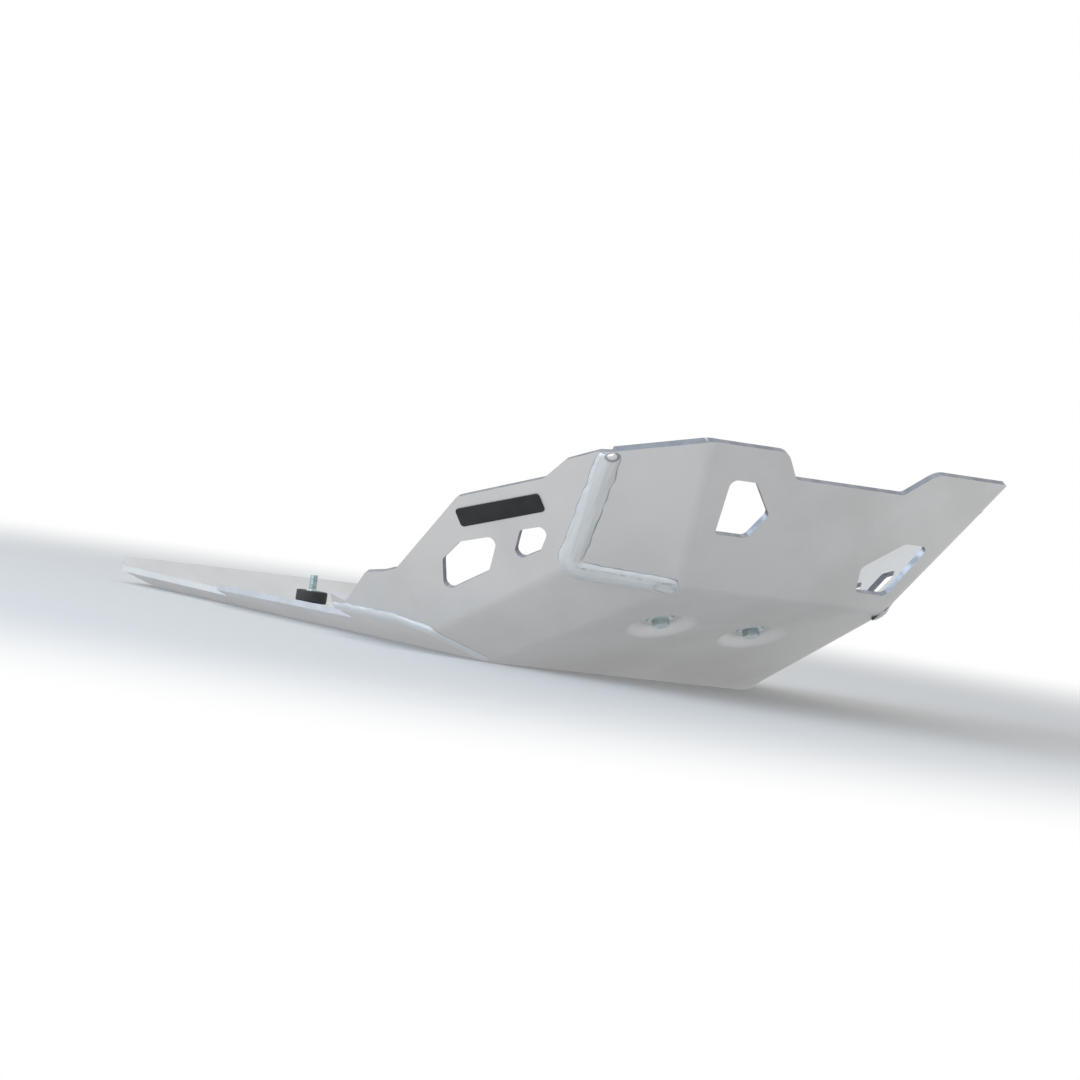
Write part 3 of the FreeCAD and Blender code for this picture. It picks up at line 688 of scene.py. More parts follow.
# Sub-assemblies
@dataclass
class FoldedSheet:
    """The folded sheet, with eased cut edges and smoothly pressed recesses."""

    node: str = "guard_plate"
    gauge: float = 4.0 * MILLIMETRE
    thick_from: float = 1.4
    edge_ease: float = 0.35 * MILLIMETRE
    edge_faces: int = 2
    smooth_to: float = 32.0
    recess_rim: float = 24.0 * MILLIMETRE
    recess_floor: float = 13.0 * MILLIMETRE
    recess_depth: float = 6.0 * MILLIMETRE
    recess_hole: float = 3.3 * MILLIMETRE
    wave_rings: int = 12
    face_tolerance: float = 0.05 * MILLIMETRE
    rim_tolerance: float = 0.1 * MILLIMETRE
    ray_lift: float = 0.02 * MILLIMETRE

    def build(self) -> Piece:
        """Builds and dresses the sheet.

        Returns:
            The piece that stands for the sheet.
        """
        draft = merged_copy(self.node)
        for point in mount_points():
            self.press(draft, point)
        mesh = flat_mesh(draft, "folded_sheet")
        piece = finished(mesh, [RawAluminium().material(), CutEdge().material()], self.smooth_to)
        self.mark_cut_edges(mesh)
        self.paint_recess_highlight(mesh)
        ease_edges(piece, self.edge_ease, self.edge_faces)
        weigh = piece.modifiers.new("flat_panels", "WEIGHTED_NORMAL")
        weigh.keep_sharp = True
        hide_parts(self.node)
        return piece

    def press(self, draft: BMesh, point: MountPoint) -> None:
        """Replaces one recess by a smooth wave with the same rim, floor and hole.

        Args:
            draft: the sheet in the making.
            point: the stud in the recess.
        """
        near = self.face_tolerance
        floor_top = point.reach("rubber_dampers").low
        inside_level = floor_top - self.recess_depth
        outside_level = inside_level - self.gauge
        inner = []
        for face in draft.faces:
            places = [point.parts(vertex.co) for vertex in face.verts]
            if all(radius < self.recess_rim + near and outside_level - near < level < floor_top + near
                   for level, radius in places):
                inner.append(face)
        bmesh.ops.delete(draft, geom=inner, context="FACES")
        holes = []
        for level in (outside_level, inside_level):
            holes += self.wave(draft, point, level)
        edges = {edge for vertex in holes for edge in vertex.link_edges if edge.is_boundary}
        bmesh.ops.bridge_loops(draft, edges=list(edges))

    def rim_loop(self, draft: BMesh, point: MountPoint, level: float) -> list[BMVert]:
        """Open rim of a recess on one face of the sheet.

        Args:
            draft: the sheet in the making.
            point: the stud in the recess.
            level: the face's level on the stud's axis.

        Returns:
            The rim's points in order round the axis.
        """
        near = self.rim_tolerance
        rim = []
        for vertex in draft.verts:
            height, radius = point.parts(vertex.co)
            if abs(height - level) < near and abs(radius - self.recess_rim) < near:
                rim.append(vertex)
        return sorted(rim, key=lambda vertex: point.turn(vertex.co))

    def wave(self, draft: BMesh, point: MountPoint, level: float) -> list[BMVert]:
        """Faces from a recess's rim down the wave and over its floor to the hole.

        Args:
            draft: the sheet in the making.
            point: the stud in the recess.
            level: the face's level on the stud's axis.

        Returns:
            The points round the hole.
        """
        outer = self.rim_loop(draft, point, level)
        place = point.place()
        turns = [point.turn(vertex.co) for vertex in outer]
        steps = []
        for step in range(1, self.wave_rings + 1):
            share = step / self.wave_rings
            lift = self.recess_depth * (1 - math.cos(math.pi * share)) / 2
            steps.append((self.recess_rim + (self.recess_floor - self.recess_rim) * share, lift))
        steps.append((self.recess_hole, self.recess_depth))
        for radius, lift in steps:
            ring = []
            for turn in turns:
                spot = Vector((radius * math.cos(turn), radius * math.sin(turn), level + lift))
                ring.append(draft.verts.new(place @ spot))
            for index in range(len(ring)):
                after = (index + 1) % len(ring)
                draft.faces.new((outer[index], outer[after], ring[after], ring[index]))
            outer = ring
        return outer

    def mark_cut_edges(self, mesh: Mesh) -> None:
        """Gives the cut edges their own finish: the faces behind which the sheet is thicker than its gauge.

        Args:
            mesh: the sheet.
        """
        corners = [tuple(face.vertices) for face in mesh.polygons]
        tree = BVHTree.FromPolygons([vertex.co for vertex in mesh.vertices], corners)
        mesh.calc_loop_triangles()
        widest = {}
        for triangle in mesh.loop_triangles:
            face = triangle.polygon_index
            if face not in widest or triangle.area > widest[face].area:
                widest[face] = triangle
        for number, triangle in widest.items():
            start = Vector(triangle.center) - triangle.normal * self.ray_lift
            far = tree.ray_cast(start, -triangle.normal)[3]
            mesh.polygons[number].material_index = int(far is None or far > self.thick_from * self.gauge)

    def paint_recess_highlight(self, mesh: Mesh) -> None:
        """Marks the recesses' slopes for a painted highlight, strongest halfway down each slope.

        Args:
            mesh: the sheet.
        """
        layer = mesh.attributes.new("drawn", "FLOAT", "POINT")
        slope = self.recess_rim - self.recess_floor
        for point in mount_points():
            floor_top = point.reach("rubber_dampers").low
            for vertex in mesh.vertices:
                level, radius = point.parts(vertex.co)
                share = (self.recess_rim - radius) / slope
                if 0 < share < 1 and abs(level - floor_top) < 2 * self.recess_depth:
                    layer.data[vertex.index].value = math.sin(math.pi * share)


@dataclass(frozen=True)
class Run:
    """A straight stretch of weld between two panels."""

    start: Vector
    end: Vector
    first: Plane
    second: Plane

    @property
    def forward(self) -> Vector:
        """Direction in which it was laid."""
        return (self.end - self.start).normalized()

    @property
    def outward(self) -> Vector:
        """Direction halfway between the two panels' normals."""
        return (self.first.normal + self.second.normal).normalized()

    @property
    def half_angle(self) -> float:
        """Half the angle between the two panels' normals."""
        return self.first.normal.angle(self.second.normal) / 2


@dataclass(frozen=True)
class Station:
    """A cross section of a bead."""

    point: Vector
    forward: Vector
    outward: Vector
    half_angle: float
    along: float
    corner: float
    run: Run

    def offset(self, angle: float, radius: float) -> Vector:
        """Point of the cross section at an angle from its outward direction."""
        across = self.forward.cross(self.outward)
        return self.point + (self.outward * math.cos(angle) + across * math.sin(angle)) * radius


@dataclass(frozen=True)
class Leg:
    """A straight piece of a bead's path, between two shares of the turn from one run to the next."""

    start: Vector
    end: Vector
    before: Run
    after: Run
    turned: Pair = (0.0, 0.0)

    @property
    def length(self) -> float:
        """Its length."""
        return (self.end - self.start).length

    def station(self, share: float, along: float) -> Station:
        """Cross section at a place on the leg.

        Args:
            share: 0 at the leg's start, 1 at its end.
            along: metres from the bead's start.

        Returns:
            The cross section.
        """
        low, high = self.turned
        mix = low + (high - low) * share
        forward = (self.end - self.start).normalized()
        outward = self.before.outward.lerp(self.after.outward, mix)
        outward = (outward - forward * outward.dot(forward)).normalized()
        half = self.before.half_angle + (self.after.half_angle - self.before.half_angle) * mix
        corner = 4 * mix * (1 - mix)
        return Station(self.start.lerp(self.end, share), forward, outward, half, along, corner, self.before)


@dataclass(frozen=True)
class Oval:
    """An oval mark on a bead, in metres along it and in shares of its half width across it."""

    middle: float
    side: float
    half_length: float
    half_width: float
    height: float
    rim_darkening: float
    rim_width: float = 0.16

    def reach(self, station: Station, length: float, share: float) -> float:
        """Distance of a place from the mark: 1 on its rim. A negative middle counts from the bead's end."""
        middle = self.middle if self.middle >= 0 else length + self.middle
        return math.hypot((station.along - middle) / self.half_length, (share - self.side) / self.half_width)


@dataclass
class WeldBead:
    """A weld bead on a closed corner of the sheet. Rows, layers and places are those in its noise."""

    node: str
    side: Side
    runs: list[Run]
    radius: float
    inset: float
    sunk: float = 1.5 * MILLIMETRE
    spacing: float = 0.7 * MILLIMETRE
    points_across: int = 48
    smooth_to: float = 50.0
    turn_radius: float = 6.0 * MILLIMETRE
    turn_steps: int = 8
    corner_swell: float = 0.5 * MILLIMETRE
    ripple: float = 0.05 * MILLIMETRE
    ripple_pitch: float = 2.6 * MILLIMETRE
    ripple_bow: float = 3.0
    waver: float = 0.5 * MILLIMETRE
    waver_length: float = 7.0 * MILLIMETRE
    waver_rows: Pair = (0.6, 7.4)
    waver_layer: float = 0.37
    least_proud: float = 0.02 * MILLIMETRE
    toe_sunk: float = 0.15 * MILLIMETRE
    toe_width: float = 1.1 * MILLIMETRE
    toe_uneven: float = 0.6
    toe_dark: float = 0.75
    toe_sharp: float = 1.8
    toe_rows: Pair = (1.7, 4.9)
    toe_layer: float = 0.5
    half_width: float = 0.7
    under_spread: float = 1.5
    underside_darkening: float = 0.2
    start_slant: float = 0.0
    slant_reach: float = 16.0 * MILLIMETRE
    round_end: float = 5.0 * MILLIMETRE
    drop: Oval | None = None
    crater: Oval | None = None
    seam: float | None = None
    seam_width: float = 0.045
    seam_dark: float = 0.5
    dash_length: float = 2.7 * MILLIMETRE
    dash_place: Pair = (0.4, 0.7)
    dash_middle: float = 0.55
    dash_swing: float = 1.6
    drift: float = 0.1
    drift_length: float = 9.0 * MILLIMETRE
    drift_place: Pair = (5.2, 0.3)

    def build(self, material: Material) -> Piece:
        """Builds and dresses the bead.

        Args:
            material: its finish.

        Returns:
            The piece that stands for the bead.
        """
        stations = self.stations()
        draft = MeshDraft()
        draft.skin([self.section(draft, station, stations[-1].along) for station in stations])
        if self.side is Side.LEFT:
            draft.points = [self.side.of(point) for point in draft.points]
            draft.faces = [face[::-1] for face in draft.faces]
        piece = draft.piece(f"{self.node}_bead", material, self.smooth_to)
        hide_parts(self.node)
        return piece

    def legs(self) -> list[Leg]:
        """The path along the runs, rounded where they turn.

        Returns:
            Its straight pieces, in order.
        """
        found = []
        here = self.runs[0].start
        for before, after in zip(self.runs, self.runs[1:]):
            cut = self.turn_radius * math.tan(before.forward.angle(after.forward) / 2)
            bend = []
            for step in range(self.turn_steps + 1):
                share = step / self.turn_steps
                first = before.end - before.forward * cut * (1 - share)
                second = before.end + after.forward * cut * share
                bend.append((first.lerp(second, share), share))
            found.append(Leg(here, bend[0][0], before, before))
            for (start, low), (end, high) in zip(bend, bend[1:]):
                found.append(Leg(start, end, before, after, (low, high)))
            here = bend[-1][0]
        return [*found, Leg(here, self.runs[-1].end, self.runs[-1], self.runs[-1])]

    def stations(self) -> list[Station]:
        """Cross sections along the path.

        Returns:
            The stations, evenly spaced.
        """
        legs = self.legs()
        length = sum(leg.length for leg in legs)
        count = round(length / self.spacing)
        found = []
        passed = 0.0
        for leg in legs:
            while len(found) <= count:
                along = length * len(found) / count
                if along > passed + leg.length and leg is not legs[-1]:
                    break
                found.append(leg.station((along - passed) / leg.length, along))
            passed += leg.length
        return found

    def section(self, draft: MeshDraft, station: Station, length: float) -> list[int]:
        """Adds one cross section: the proud arc, and an underside just inside the sheet.

        Args:
            draft: the bead in the making.
            station: where it is.
            length: the bead's length.

        Returns:
            The numbers of the section's points.
        """
        last = self.points_across - 1
        under = self.points_across // 2
        found = [self.crown(station, length, -1 + 2 * index / last) for index in range(self.points_across)]
        found += [self.underside(station, 1 - 2 * (index + 1) / (under + 1)) for index in range(under)]
        points, soot_and_shade_values, shines, shares = (list(column) for column in zip(*found))
        lengths = [station.along] * len(points)
        return draft.ring(points, soot=soot_and_shade_values, shine=shines, across=shares, along=lengths)

    def crown(self, station: Station, length: float, share: float) -> BeadPoint:
        """A point of the proud arc.

        Args:
            station: where it is along the bead.
            length: the bead's length.
            share: place across the bead, from -1 to 1.

        Returns:
            The point, its soot and painted shade, its shine and its place across.
        """
        fullness = self.fullness(station.along, length)
        radius = self.inset + max(self.least_proud, self.proud(station, share) * fullness)
        toe = station.half_angle + math.acos((self.inset - self.toe_sunk) / radius)
        phase = 2 * math.pi * (station.along / self.ripple_pitch + self.ripple_bow * share * share)
        radius += self.ripple * math.sin(phase) * (1 - share * share) * fullness
        # Soot and painted shade at the toes, plus the dark seam line
        soot = self.toe_soot_and_shade(station, share) + self.seam_darkening(station, share)
        for mark in (self.drop, self.crater):
            if mark:
                reach = mark.reach(station, length, share)
                radius += mark.height * max(0.0, 1 - reach * reach)
                soot += mark.rim_darkening * math.exp(-(((reach - 1) / mark.rim_width) ** 2))
        shine = max(0.0, 1 - self.drop.reach(station, length, share)) if self.drop else 0.0
        slant = self.start_slant * max(0.0, 1 - station.along / self.slant_reach)
        point = station.offset(share * toe, radius) + station.forward * share * slant
        return point, min(1.0, soot), shine, share

    def underside(self, station: Station, share: float) -> BeadPoint:
        """A point of the underside.

        Args:
            station: where it is along the bead.
            share: place across the bead, from -1 to 1.

        Returns:
            The point, its soot, its shine and its place across.
        """
        angle = share * station.half_angle * self.under_spread
        depth = (self.inset - self.sunk) / math.cos(abs(angle) - station.half_angle)
        return station.offset(angle, depth), self.underside_darkening, 0.0, share

    def fullness(self, along: float, length: float) -> float:
        """Share of the bead's height at a place along it: 1, and down to 0 at its rounded ends."""
        ends = [min(1.0, far / self.round_end) for far in (along, length - along)]
        return math.prod(math.sqrt(1 - (1 - end) ** 2) for end in ends)

    def proud(self, station: Station, share: float) -> float:
        """Height of the bead above its inset, with an uneven width and a swollen corner.

        Args:
            station: where it is.
            share: place across the bead, from -1 to 1.

        Returns:
            The height in metres.
        """
        layer = self.waver_layer * len(self.node)
        wobble = noise.noise(Vector((station.along / self.waver_length, self.waver_rows[share > 0], layer)))
        swell = self.corner_swell * station.corner
        return self.radius - self.inset + swell + self.waver * wobble * share * share

    def toe_soot_and_shade(self, station: Station, share: float) -> float:
        """Soot and painted shade along the bead's toes, where it meets the sheet, here thicker and there
        thinner.

        Args:
            station: where it is.
            share: place across the bead, from -1 to 1.

        Returns:
            Darkness, from 0 to 1.
        """
        place = Vector((station.along / self.waver_length, self.toe_rows[share > 0], self.toe_layer))
        width = self.toe_width * (1 + self.toe_uneven * noise.noise(place)) / (self.half_width * self.radius)
        return self.toe_dark * min(1.0, max(0.0, self.toe_sharp * (abs(share) - 1 + width) / width))

    def seam_darkening(self, station: Station, share: float) -> float:
        """Broken dark line along the bead's lower run.

        Args:
            station: where it is.
            share: place across the bead, from -1 to 1.

        Returns:
            Darkness, from 0 to 1.
        """
        if self.seam is None or station.run is self.runs[0]:
            return 0.0
        dash = noise.noise(Vector((station.along / self.dash_length, *self.dash_place)))
        drift = self.drift * noise.noise(Vector((station.along / self.drift_length, *self.drift_place)))
        strength = max(0.0, min(1.0, self.dash_middle + self.dash_swing * dash))
        return self.seam_dark * strength * math.exp(-(((share - self.seam - drift) / self.seam_width) ** 2))


@dataclass
class CornerWelds:
    """The four beads, laid along the folds where the sheet's panels meet."""

    front_radius: float = 13.0 * MILLIMETRE
    front_inset: float = 11.4 * MILLIMETRE
    front_slant: float = 3.2 * MILLIMETRE
    front_seam: float = -0.45
    front_drop: Oval = Oval(1.2 * MILLIMETRE, -0.25, 3.2 * MILLIMETRE, 0.5, 0.6 * MILLIMETRE, 0.8, 0.25)
    front_crater: Oval = Oval(-8.0 * MILLIMETRE, 0.1, 7.0 * MILLIMETRE, 0.5, -0.25 * MILLIMETRE, 0.22)
    front_top_reach: float = 3.0 * MILLIMETRE
    front_end_reach: float = 15.0 * MILLIMETRE
    rear_radius: float = 5.0 * MILLIMETRE
    rear_inset: float = 4.0 * MILLIMETRE
    rear_toe_width: float = 0.7 * MILLIMETRE
    rear_toe_dark: float = 0.45
    rear_end_reach: float = 11.0 * MILLIMETRE

    def build(self) -> list[Piece]:
        """Builds and dresses the beads.

        Returns:
            The four pieces.
        """
        metal = WeldMetal().material()
        mesh = frame["nodes"]["guard_plate"].data
        planes = {panel: panel.plane(mesh) for panel in Panel}
        pieces = []
        for side in Side:
            name = side.name.lower()
            front = WeldBead(
                f"weld_front_{name}", side, self.front_runs(planes), self.front_radius, self.front_inset,
                start_slant=self.front_slant, drop=self.front_drop, crater=self.front_crater,
                seam=self.front_seam,
            )
            rear = WeldBead(
                f"weld_rear_{name}", side, self.rear_runs(planes), self.rear_radius, self.rear_inset,
                corner_swell=0.0, toe_width=self.rear_toe_width, toe_dark=self.rear_toe_dark,
            )
            pieces += [front.build(metal), rear.build(metal)]
        return pieces

    def front_runs(self, planes: dict[Panel, Plane]) -> list[Run]:
        """Runs of the right front bead: down the wall's front edge, then in under the facet.

        Args:
            planes: the sheet's panels.

        Returns:
            The two runs.
        """
        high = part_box("weld_front_right")[1]
        wall, facet, chamfer = (
            planes[panel].sunk(self.front_inset) for panel in (Panel.WALL, Panel.FACET, Panel.CHAMFER)
        )
        top_level = Plane(Vector((0, 0, high.z + self.front_top_reach)), Vector((0, 0, 1)))
        end_level = Plane(Vector((0, high.y + self.front_end_reach, 0)), Vector((0, 1, 0)))
        top = wall.meet(facet, top_level)
        corner = wall.meet(facet, chamfer)
        end = facet.meet(chamfer, end_level)
        return [Run(top, corner, wall, facet), Run(corner, end, chamfer, facet)]

    def rear_runs(self, planes: dict[Panel, Plane]) -> list[Run]:
        """Runs of the right rear bead: along the wall's foot, then in under the chamfer.

        Args:
            planes: the sheet's panels.

        Returns:
            The three runs.
        """
        low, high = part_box("weld_rear_right")
        flange, ear, wall, chamfer = (
            planes[panel].sunk(self.rear_inset)
            for panel in (Panel.FLANGE, Panel.EAR, Panel.WALL, Panel.CHAMFER)
        )
        rear_level = Plane(Vector((low.x, 0, 0)), Vector((1, 0, 0)))
        end_level = Plane(Vector((0, high.y + self.rear_end_reach, 0)), Vector((0, 1, 0)))
        rear = flange.meet(ear, rear_level)
        bend = flange.meet(ear, wall)
        foot = flange.meet(wall, chamfer)
        end = flange.meet(chamfer, end_level)
        return [Run(rear, bend, flange, ear), Run(bend, foot, flange, wall), Run(foot, end, flange, chamfer)]


@dataclass
class Nameplate:
    """The blank nameplate on the right wall, with eased edges."""

    node: str = "nameplate"
    edge_ease: float = 0.2 * MILLIMETRE
    edge_faces: int = 3
    smooth_to: float = 32.0

    def build(self) -> Piece:
        """Builds and dresses the plate.

        Returns:
            The piece that stands for the plate.
        """
        mesh = flat_mesh(merged_copy(self.node), "blank_plate")
        piece = finished(mesh, [PlateLacquer().material()], self.smooth_to)
        ease_edges(piece, self.edge_ease, self.edge_faces)
        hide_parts(self.node)
        return piece


@dataclass
class MountHardware:
    """Bolts, washers, spacer sleeves and rubber dampers at the four studs."""

    head_flats: float = 10.0 * MILLIMETRE
    head_bevel: float = 30.0
    crown_share: float = 0.96
    dish_rim_share: float = 0.8
    dish_floor_share: float = 0.7
    thread_radius: float = 3.0 * MILLIMETRE
    thread_root: float = 2.4 * MILLIMETRE
    thread_pitch: float = 1.0 * MILLIMETRE
    thread_rows: int = 6
    edge: float = 0.3 * MILLIMETRE
    rubber_edge: float = 1.0 * MILLIMETRE
    turns: int = 48
    smooth_to: float = 35.0

    def build(self) -> list[Piece]:
        """Builds and dresses the fixings.

        Returns:
            One piece for each kind.
        """
        zinc = ZincPlating().material()
        rubber = DamperRubber().material()
        kinds = (
            ("mount_bolts", "zinc", zinc, self.bolt),
            ("mount_washers", "zinc", zinc, self.washer),
            ("spacer_sleeves", "zinc", zinc, self.sleeve),
            ("rubber_dampers", "damper", rubber, self.damper),
        )
        pieces = []
        for node, slot, material, draw in kinds:
            draft = MeshDraft()
            for point in mount_points():
                draw(draft, point, point.reach(node))
            piece = draft.piece(f"{node}_detailed", material, self.smooth_to)
            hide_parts(node)
            pieces.append(piece)
        return pieces

    def ring(self, draft: MeshDraft, point: MountPoint, reach: Reach, edge: float, steps: int) -> None:
        """Adds a ring whose four edges are rounded.

        Args:
            draft: the mesh in the making.
            point: its stud.
            reach: where it lies.
            edge: radius of its edges.
            steps: faces round each edge.
        """
        corners = (
            (reach.rim - edge, reach.low + edge, -90.0),
            (reach.rim - edge, reach.high - edge, 0.0),
            (reach.bore + edge, reach.high - edge, 90.0),
            (reach.bore + edge, reach.low + edge, 180.0),
        )
        rings = []
        for radius, level, start in corners:
            for step in range(steps + 1):
                angle = math.radians(start + 90.0 * step / steps)
                radii = [radius + edge * math.cos(angle)] * self.turns
                levels = [level + edge * math.sin(angle)] * self.turns
                rings.append(draft.circle(point.place(), radii, levels))
        draft.skin(rings, closed=True)

    def washer(self, draft: MeshDraft, point: MountPoint, reach: Reach) -> None:
        """Adds a washer with softly stamped edges."""
        self.ring(draft, point, reach, self.edge, steps=2)

    def sleeve(self, draft: MeshDraft, point: MountPoint, reach: Reach) -> None:
        """Adds a spacer sleeve with bevelled edges."""
        self.ring(draft, point, reach, self.edge, steps=1)

    def damper(self, draft: MeshDraft, point: MountPoint, reach: Reach) -> None:
        """Adds a rubber damper with moulded, rounded edges."""
        self.ring(draft, point, reach, self.rubber_edge, steps=4)

    def bolt(self, draft: MeshDraft, point: MountPoint, reach: Reach) -> None:
        """Adds a hexagon head bolt with a bevelled head and a cut thread.

        Args:
            draft: the mesh in the making.
            point: its stud.
            reach: where it lies.
        """
        bearing = point.reach("mount_washers").low
        self.head(draft, point.place(), reach.low, bearing)
        self.shank(draft, point.place(), bearing, reach.high)

    def head(self, draft: MeshDraft, place: Matrix, low: float, high: float) -> None:
        """Adds the head: a slightly dished top, a turned bevel and hexagon sides.

        Args:
            draft: the mesh in the making.
            place: frame of the stud.
            low: level of the head's outer face.
            high: level of its bearing face.
        """
        flat = self.head_flats / 2
        crown = self.crown_share * flat
        steep = math.tan(math.radians(self.head_bevel))
        sixth = math.pi / 3
        angles = [2 * math.pi * turn / self.turns for turn in range(self.turns)]
        hexagon = [flat / math.cos((angle + sixth / 2) % sixth - sixth / 2) for angle in angles]
        rows = (
            ([self.dish_floor_share * flat] * self.turns, [low + self.edge] * self.turns),
            ([self.dish_rim_share * flat] * self.turns, [low] * self.turns),
            ([crown] * self.turns, [low] * self.turns),
            (hexagon, [low + (radius - crown) * steep for radius in hexagon]),
            (hexagon, [high] * self.turns),
        )
        draft.skin([draft.circle(place, radii, levels) for radii, levels in rows])

    def shank(self, draft: MeshDraft, place: Matrix, low: float, high: float) -> None:
        """Adds the threaded shank, its crests on a helix, with a bevelled tip.

        Args:
            draft: the mesh in the making.
            place: frame of the stud.
            low: level of the head's bearing face.
            high: level of the tip.
        """
        rows = round((high - low) / self.thread_pitch * self.thread_rows)
        turns = self.turns // 2
        depth = self.thread_radius - self.thread_root
        rings = []
        for row in range(rows + 1):
            level = low + (high - low) * row / rows
            tip = min(1.0, (high - level) / self.thread_pitch)
            phases = [(level / self.thread_pitch - turn / turns) % 1.0 for turn in range(turns)]
            radii = [self.thread_root + depth * min(1 - 2 * abs(phase - 0.5), tip) for phase in phases]
            rings.append(draft.circle(place, radii, [level] * turns))
        draft.skin(rings)


# Studio
@dataclass(frozen=True)
class Softbox:
    """A rectangular area light that looks at the guard."""

    name: str
    place: Triple
    width: float
    height: float
    power: float
    colour: Colour

    def build(self, aim: Vector) -> None:
        """Adds the light.

        Args:
            aim: the point that it looks at.
        """
        data = bpy.data.lights.new(self.name, "AREA")
        data.shape = "RECTANGLE"
        data.size = self.width
        data.size_y = self.height
        data.energy = self.power
        data.color = self.colour[:3]
        light = bpy.data.objects.new(self.name, data)
        light.location = self.place
        light.rotation_euler = (aim - Vector(self.place)).to_track_quat("-Z", "Y").to_euler()
        bpy.context.scene.collection.objects.link(light)


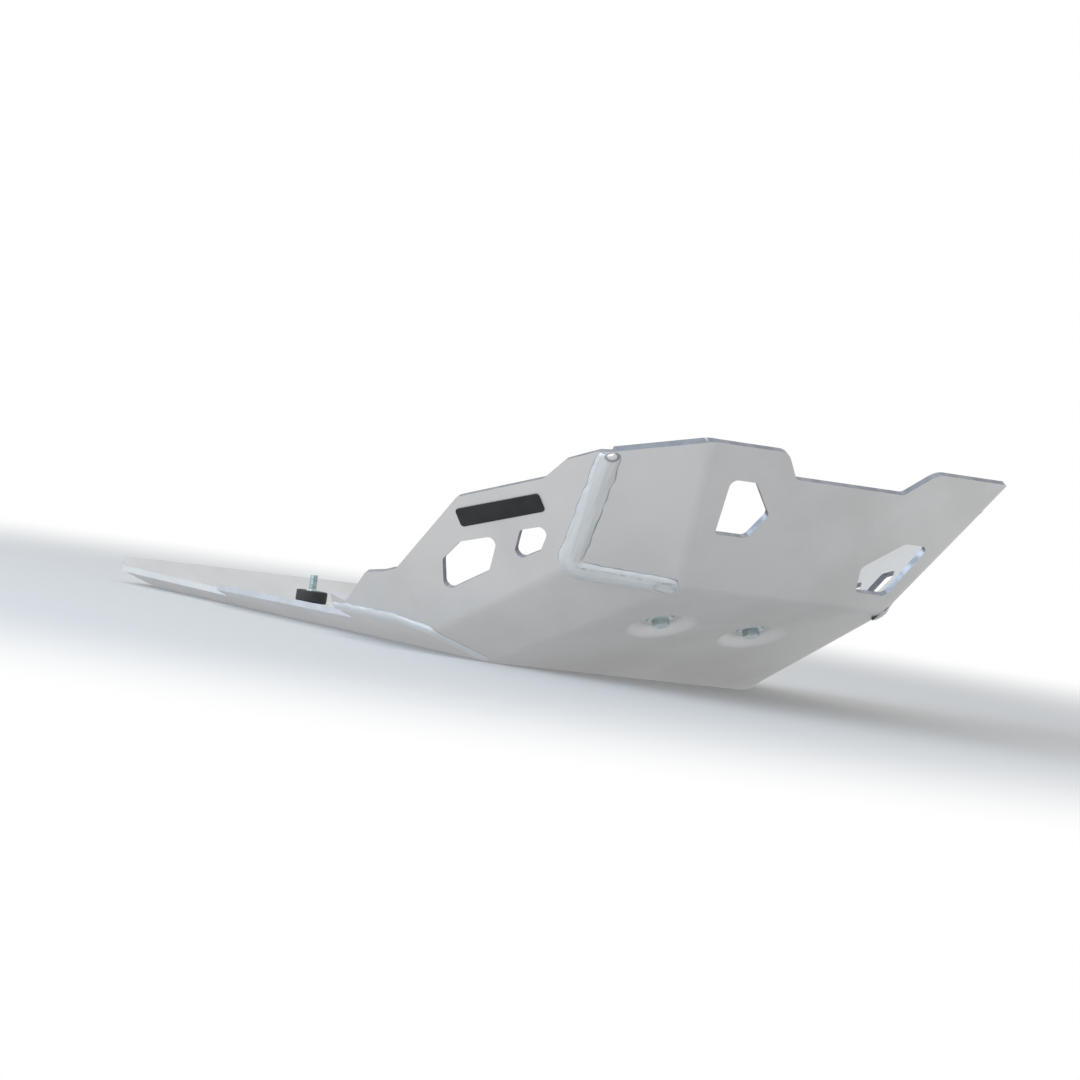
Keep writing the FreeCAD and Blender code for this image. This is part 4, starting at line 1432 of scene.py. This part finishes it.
@dataclass
class Studio:
    """White room: a pale floor that fades to white, soft lights and the camera."""

    lights: tuple[Softbox, ...] = (
        Softbox("key_softbox", (-0.2, -2.0, 0.75), 4.0, 2.0, 57.0, opaque(0.72, 0.86, 1.0)),
        Softbox("front_softbox", (2.6, 0.6, 1.0), 2.0, 2.0, 1.0, WHITE),
        Softbox("top_softbox", (-0.4, 0.3, 2.6), 2.4, 2.4, 8.0, WHITE),
    )
    ambient: float = 0.5
    floor_colour: Colour = opaque(0.80, 0.80, 0.80)
    floor_roughness: float = 0.9
    floor_reach: float = 30.0
    fade_shape: Triple = (1.0, 1.0, 1.0)
    fade_distances: Pair = (0.45, 1.1)
    fade_shares: Pair = (0.0, 1.0)
    gloss_shape: Triple = (0.6, 2.8, 1.0)
    gloss_distances: Pair = (0.25, 0.8)
    gloss_shares: Pair = (0.5, 1.0)
    azimuth: float = 51.734
    elevation: float = 1.534
    roll: float = 8.563
    distance: float = 3.328449
    aim_right: float = -53.62 * MILLIMETRE
    aim_up: float = 91.229 * MILLIMETRE
    belly_fold: float = 214.0 * MILLIMETRE
    focal_pixels: float = 5000.0
    image_pixels: float = 1080.0
    sensor: float = 36.0

    def build(self) -> None:
        """Builds floor, world, lights and camera."""
        scene = bpy.context.scene
        scene.view_settings.view_transform = "Standard"
        self.build_floor(scene)
        self.build_world(scene)
        middle = (cad_low + cad_high) / 2
        for light in self.lights:
            light.build(middle)
        self.build_camera(scene)

    def whitened(self, tree: NodeTree) -> Socket:
        """Share of a ray that sees the white background itself.

        Args:
            tree: the node tree that asks.

        Returns:
            1 for camera, glossy and transmission rays, otherwise 0.
        """
        total = tree.node("LightPath", "Is Camera Ray")
        for kind in ("Is Glossy Ray", "Is Transmission Ray"):
            total = tree.math("MAXIMUM", total, tree.node("LightPath", kind))
        return total

    def fade(self, tree: NodeTree, shape: Triple, distances: Pair, shares: Pair) -> Socket:
        """Share of white on the floor, by the distance from the guard.

        Args:
            tree: the floor's nodes.
            shape: stretch of the distance along each axis.
            distances: where the fade starts and ends.
            shares: the share of white there.

        Returns:
            The share.
        """
        place = tree.node("Mapping", "Vector", {"Vector": tree.node("TexCoord", "Object"), "Scale": shape})
        length = tree.node("VectorMath", "Value", {0: place}, operation="LENGTH")
        return tree.span(length, distances, shares)

    def build_floor(self, scene: bpy.types.Scene) -> None:
        """Adds the floor, pale by the guard and white further away.

        Args:
            scene: the scene.
        """
        reach = self.floor_reach
        mesh = bpy.data.meshes.new("floor")
        corners = [(-reach, -reach, 0), (reach, -reach, 0), (reach, reach, 0), (-reach, reach, 0)]
        mesh.from_pydata(corners, [], [(0, 1, 2, 3)])
        floor = bpy.data.objects.new("floor", mesh)
        scene.collection.objects.link(floor)
        material = bpy.data.materials.new("pale_floor")
        mesh.materials.append(material)
        tree = NodeTree(material)
        pale = tree.nodes["Principled BSDF"]
        tree.put(pale, {
            "Base Color": self.floor_colour, "Roughness": self.floor_roughness, "Specular IOR Level": 0.0,
        })
        seen = tree.node("Mix", "Result", {
            "Factor": tree.node("LightPath", "Is Camera Ray"),
            "A": self.fade(tree, self.gloss_shape, self.gloss_distances, self.gloss_shares),
            "B": self.fade(tree, self.fade_shape, self.fade_distances, self.fade_shares),
        })
        share = tree.math("MULTIPLY", seen, self.whitened(tree))
        white = tree.node("Emission", "Emission")
        mix = tree.node("MixShader", "Shader", {"Fac": share, 1: pale.outputs["BSDF"], 2: white})
        tree.put(tree.nodes["Material Output"], {"Surface": mix})

    def build_world(self, scene: bpy.types.Scene) -> None:
        """Adds the white world, dimmer as a light than as a background.

        Args:
            scene: the scene.
        """
        scene.world = bpy.data.worlds.new("white_room")
        tree = NodeTree(scene.world)
        light = tree.nodes["Background"]
        tree.put(light, {"Color": WHITE, "Strength": self.ambient})
        white = tree.node("Background", "Background", {"Color": WHITE})
        rays = {"Fac": self.whitened(tree), 1: light.outputs["Background"], 2: white}
        tree.put(tree.nodes["World Output"], {"Surface": tree.node("MixShader", "Shader", rays)})

    def build_camera(self, scene: bpy.types.Scene) -> None:
        """Adds the camera at the photograph's place.

        Args:
            scene: the scene.
        """
        turn = math.radians(self.azimuth)
        rise = math.radians(self.elevation)
        roll = math.radians(self.roll)
        back = Vector((math.sin(turn) * math.cos(rise), -math.cos(turn) * math.cos(rise), math.sin(rise)))
        level = Vector((math.cos(turn), math.sin(turn), 0.0))
        steep = back.cross(level)
        right = level * math.cos(roll) + steep * math.sin(roll)
        up = steep * math.cos(roll) - level * math.sin(roll)
        aim = Vector((self.belly_fold, 0.0, 0.0)) + right * self.aim_right + up * self.aim_up
        data = bpy.data.cameras.new("camera")
        data.sensor_width = self.sensor
        data.lens = self.sensor * self.focal_pixels / self.image_pixels
        data.clip_end = 2 * self.floor_reach
        camera = bpy.data.objects.new("camera", data)
        place = Matrix((right, up, back)).transposed().to_4x4()
        place.translation = aim + back * self.distance
        camera.matrix_world = place
        scene.collection.objects.link(camera)
        scene.camera = camera


def main() -> None:
    """Builds the guard's pieces and the studio round them."""
    logging.basicConfig(level=logging.INFO, format="%(name)s: %(message)s")
    pieces = [FoldedSheet().build()]
    pieces += CornerWelds().build()
    pieces.append(Nameplate().build())
    pieces += MountHardware().build()
    for piece in pieces:
        log.info("%s: %d faces", piece.name, len(piece.data.polygons))
    Studio().build()


if __name__ == "__main__":
    main()
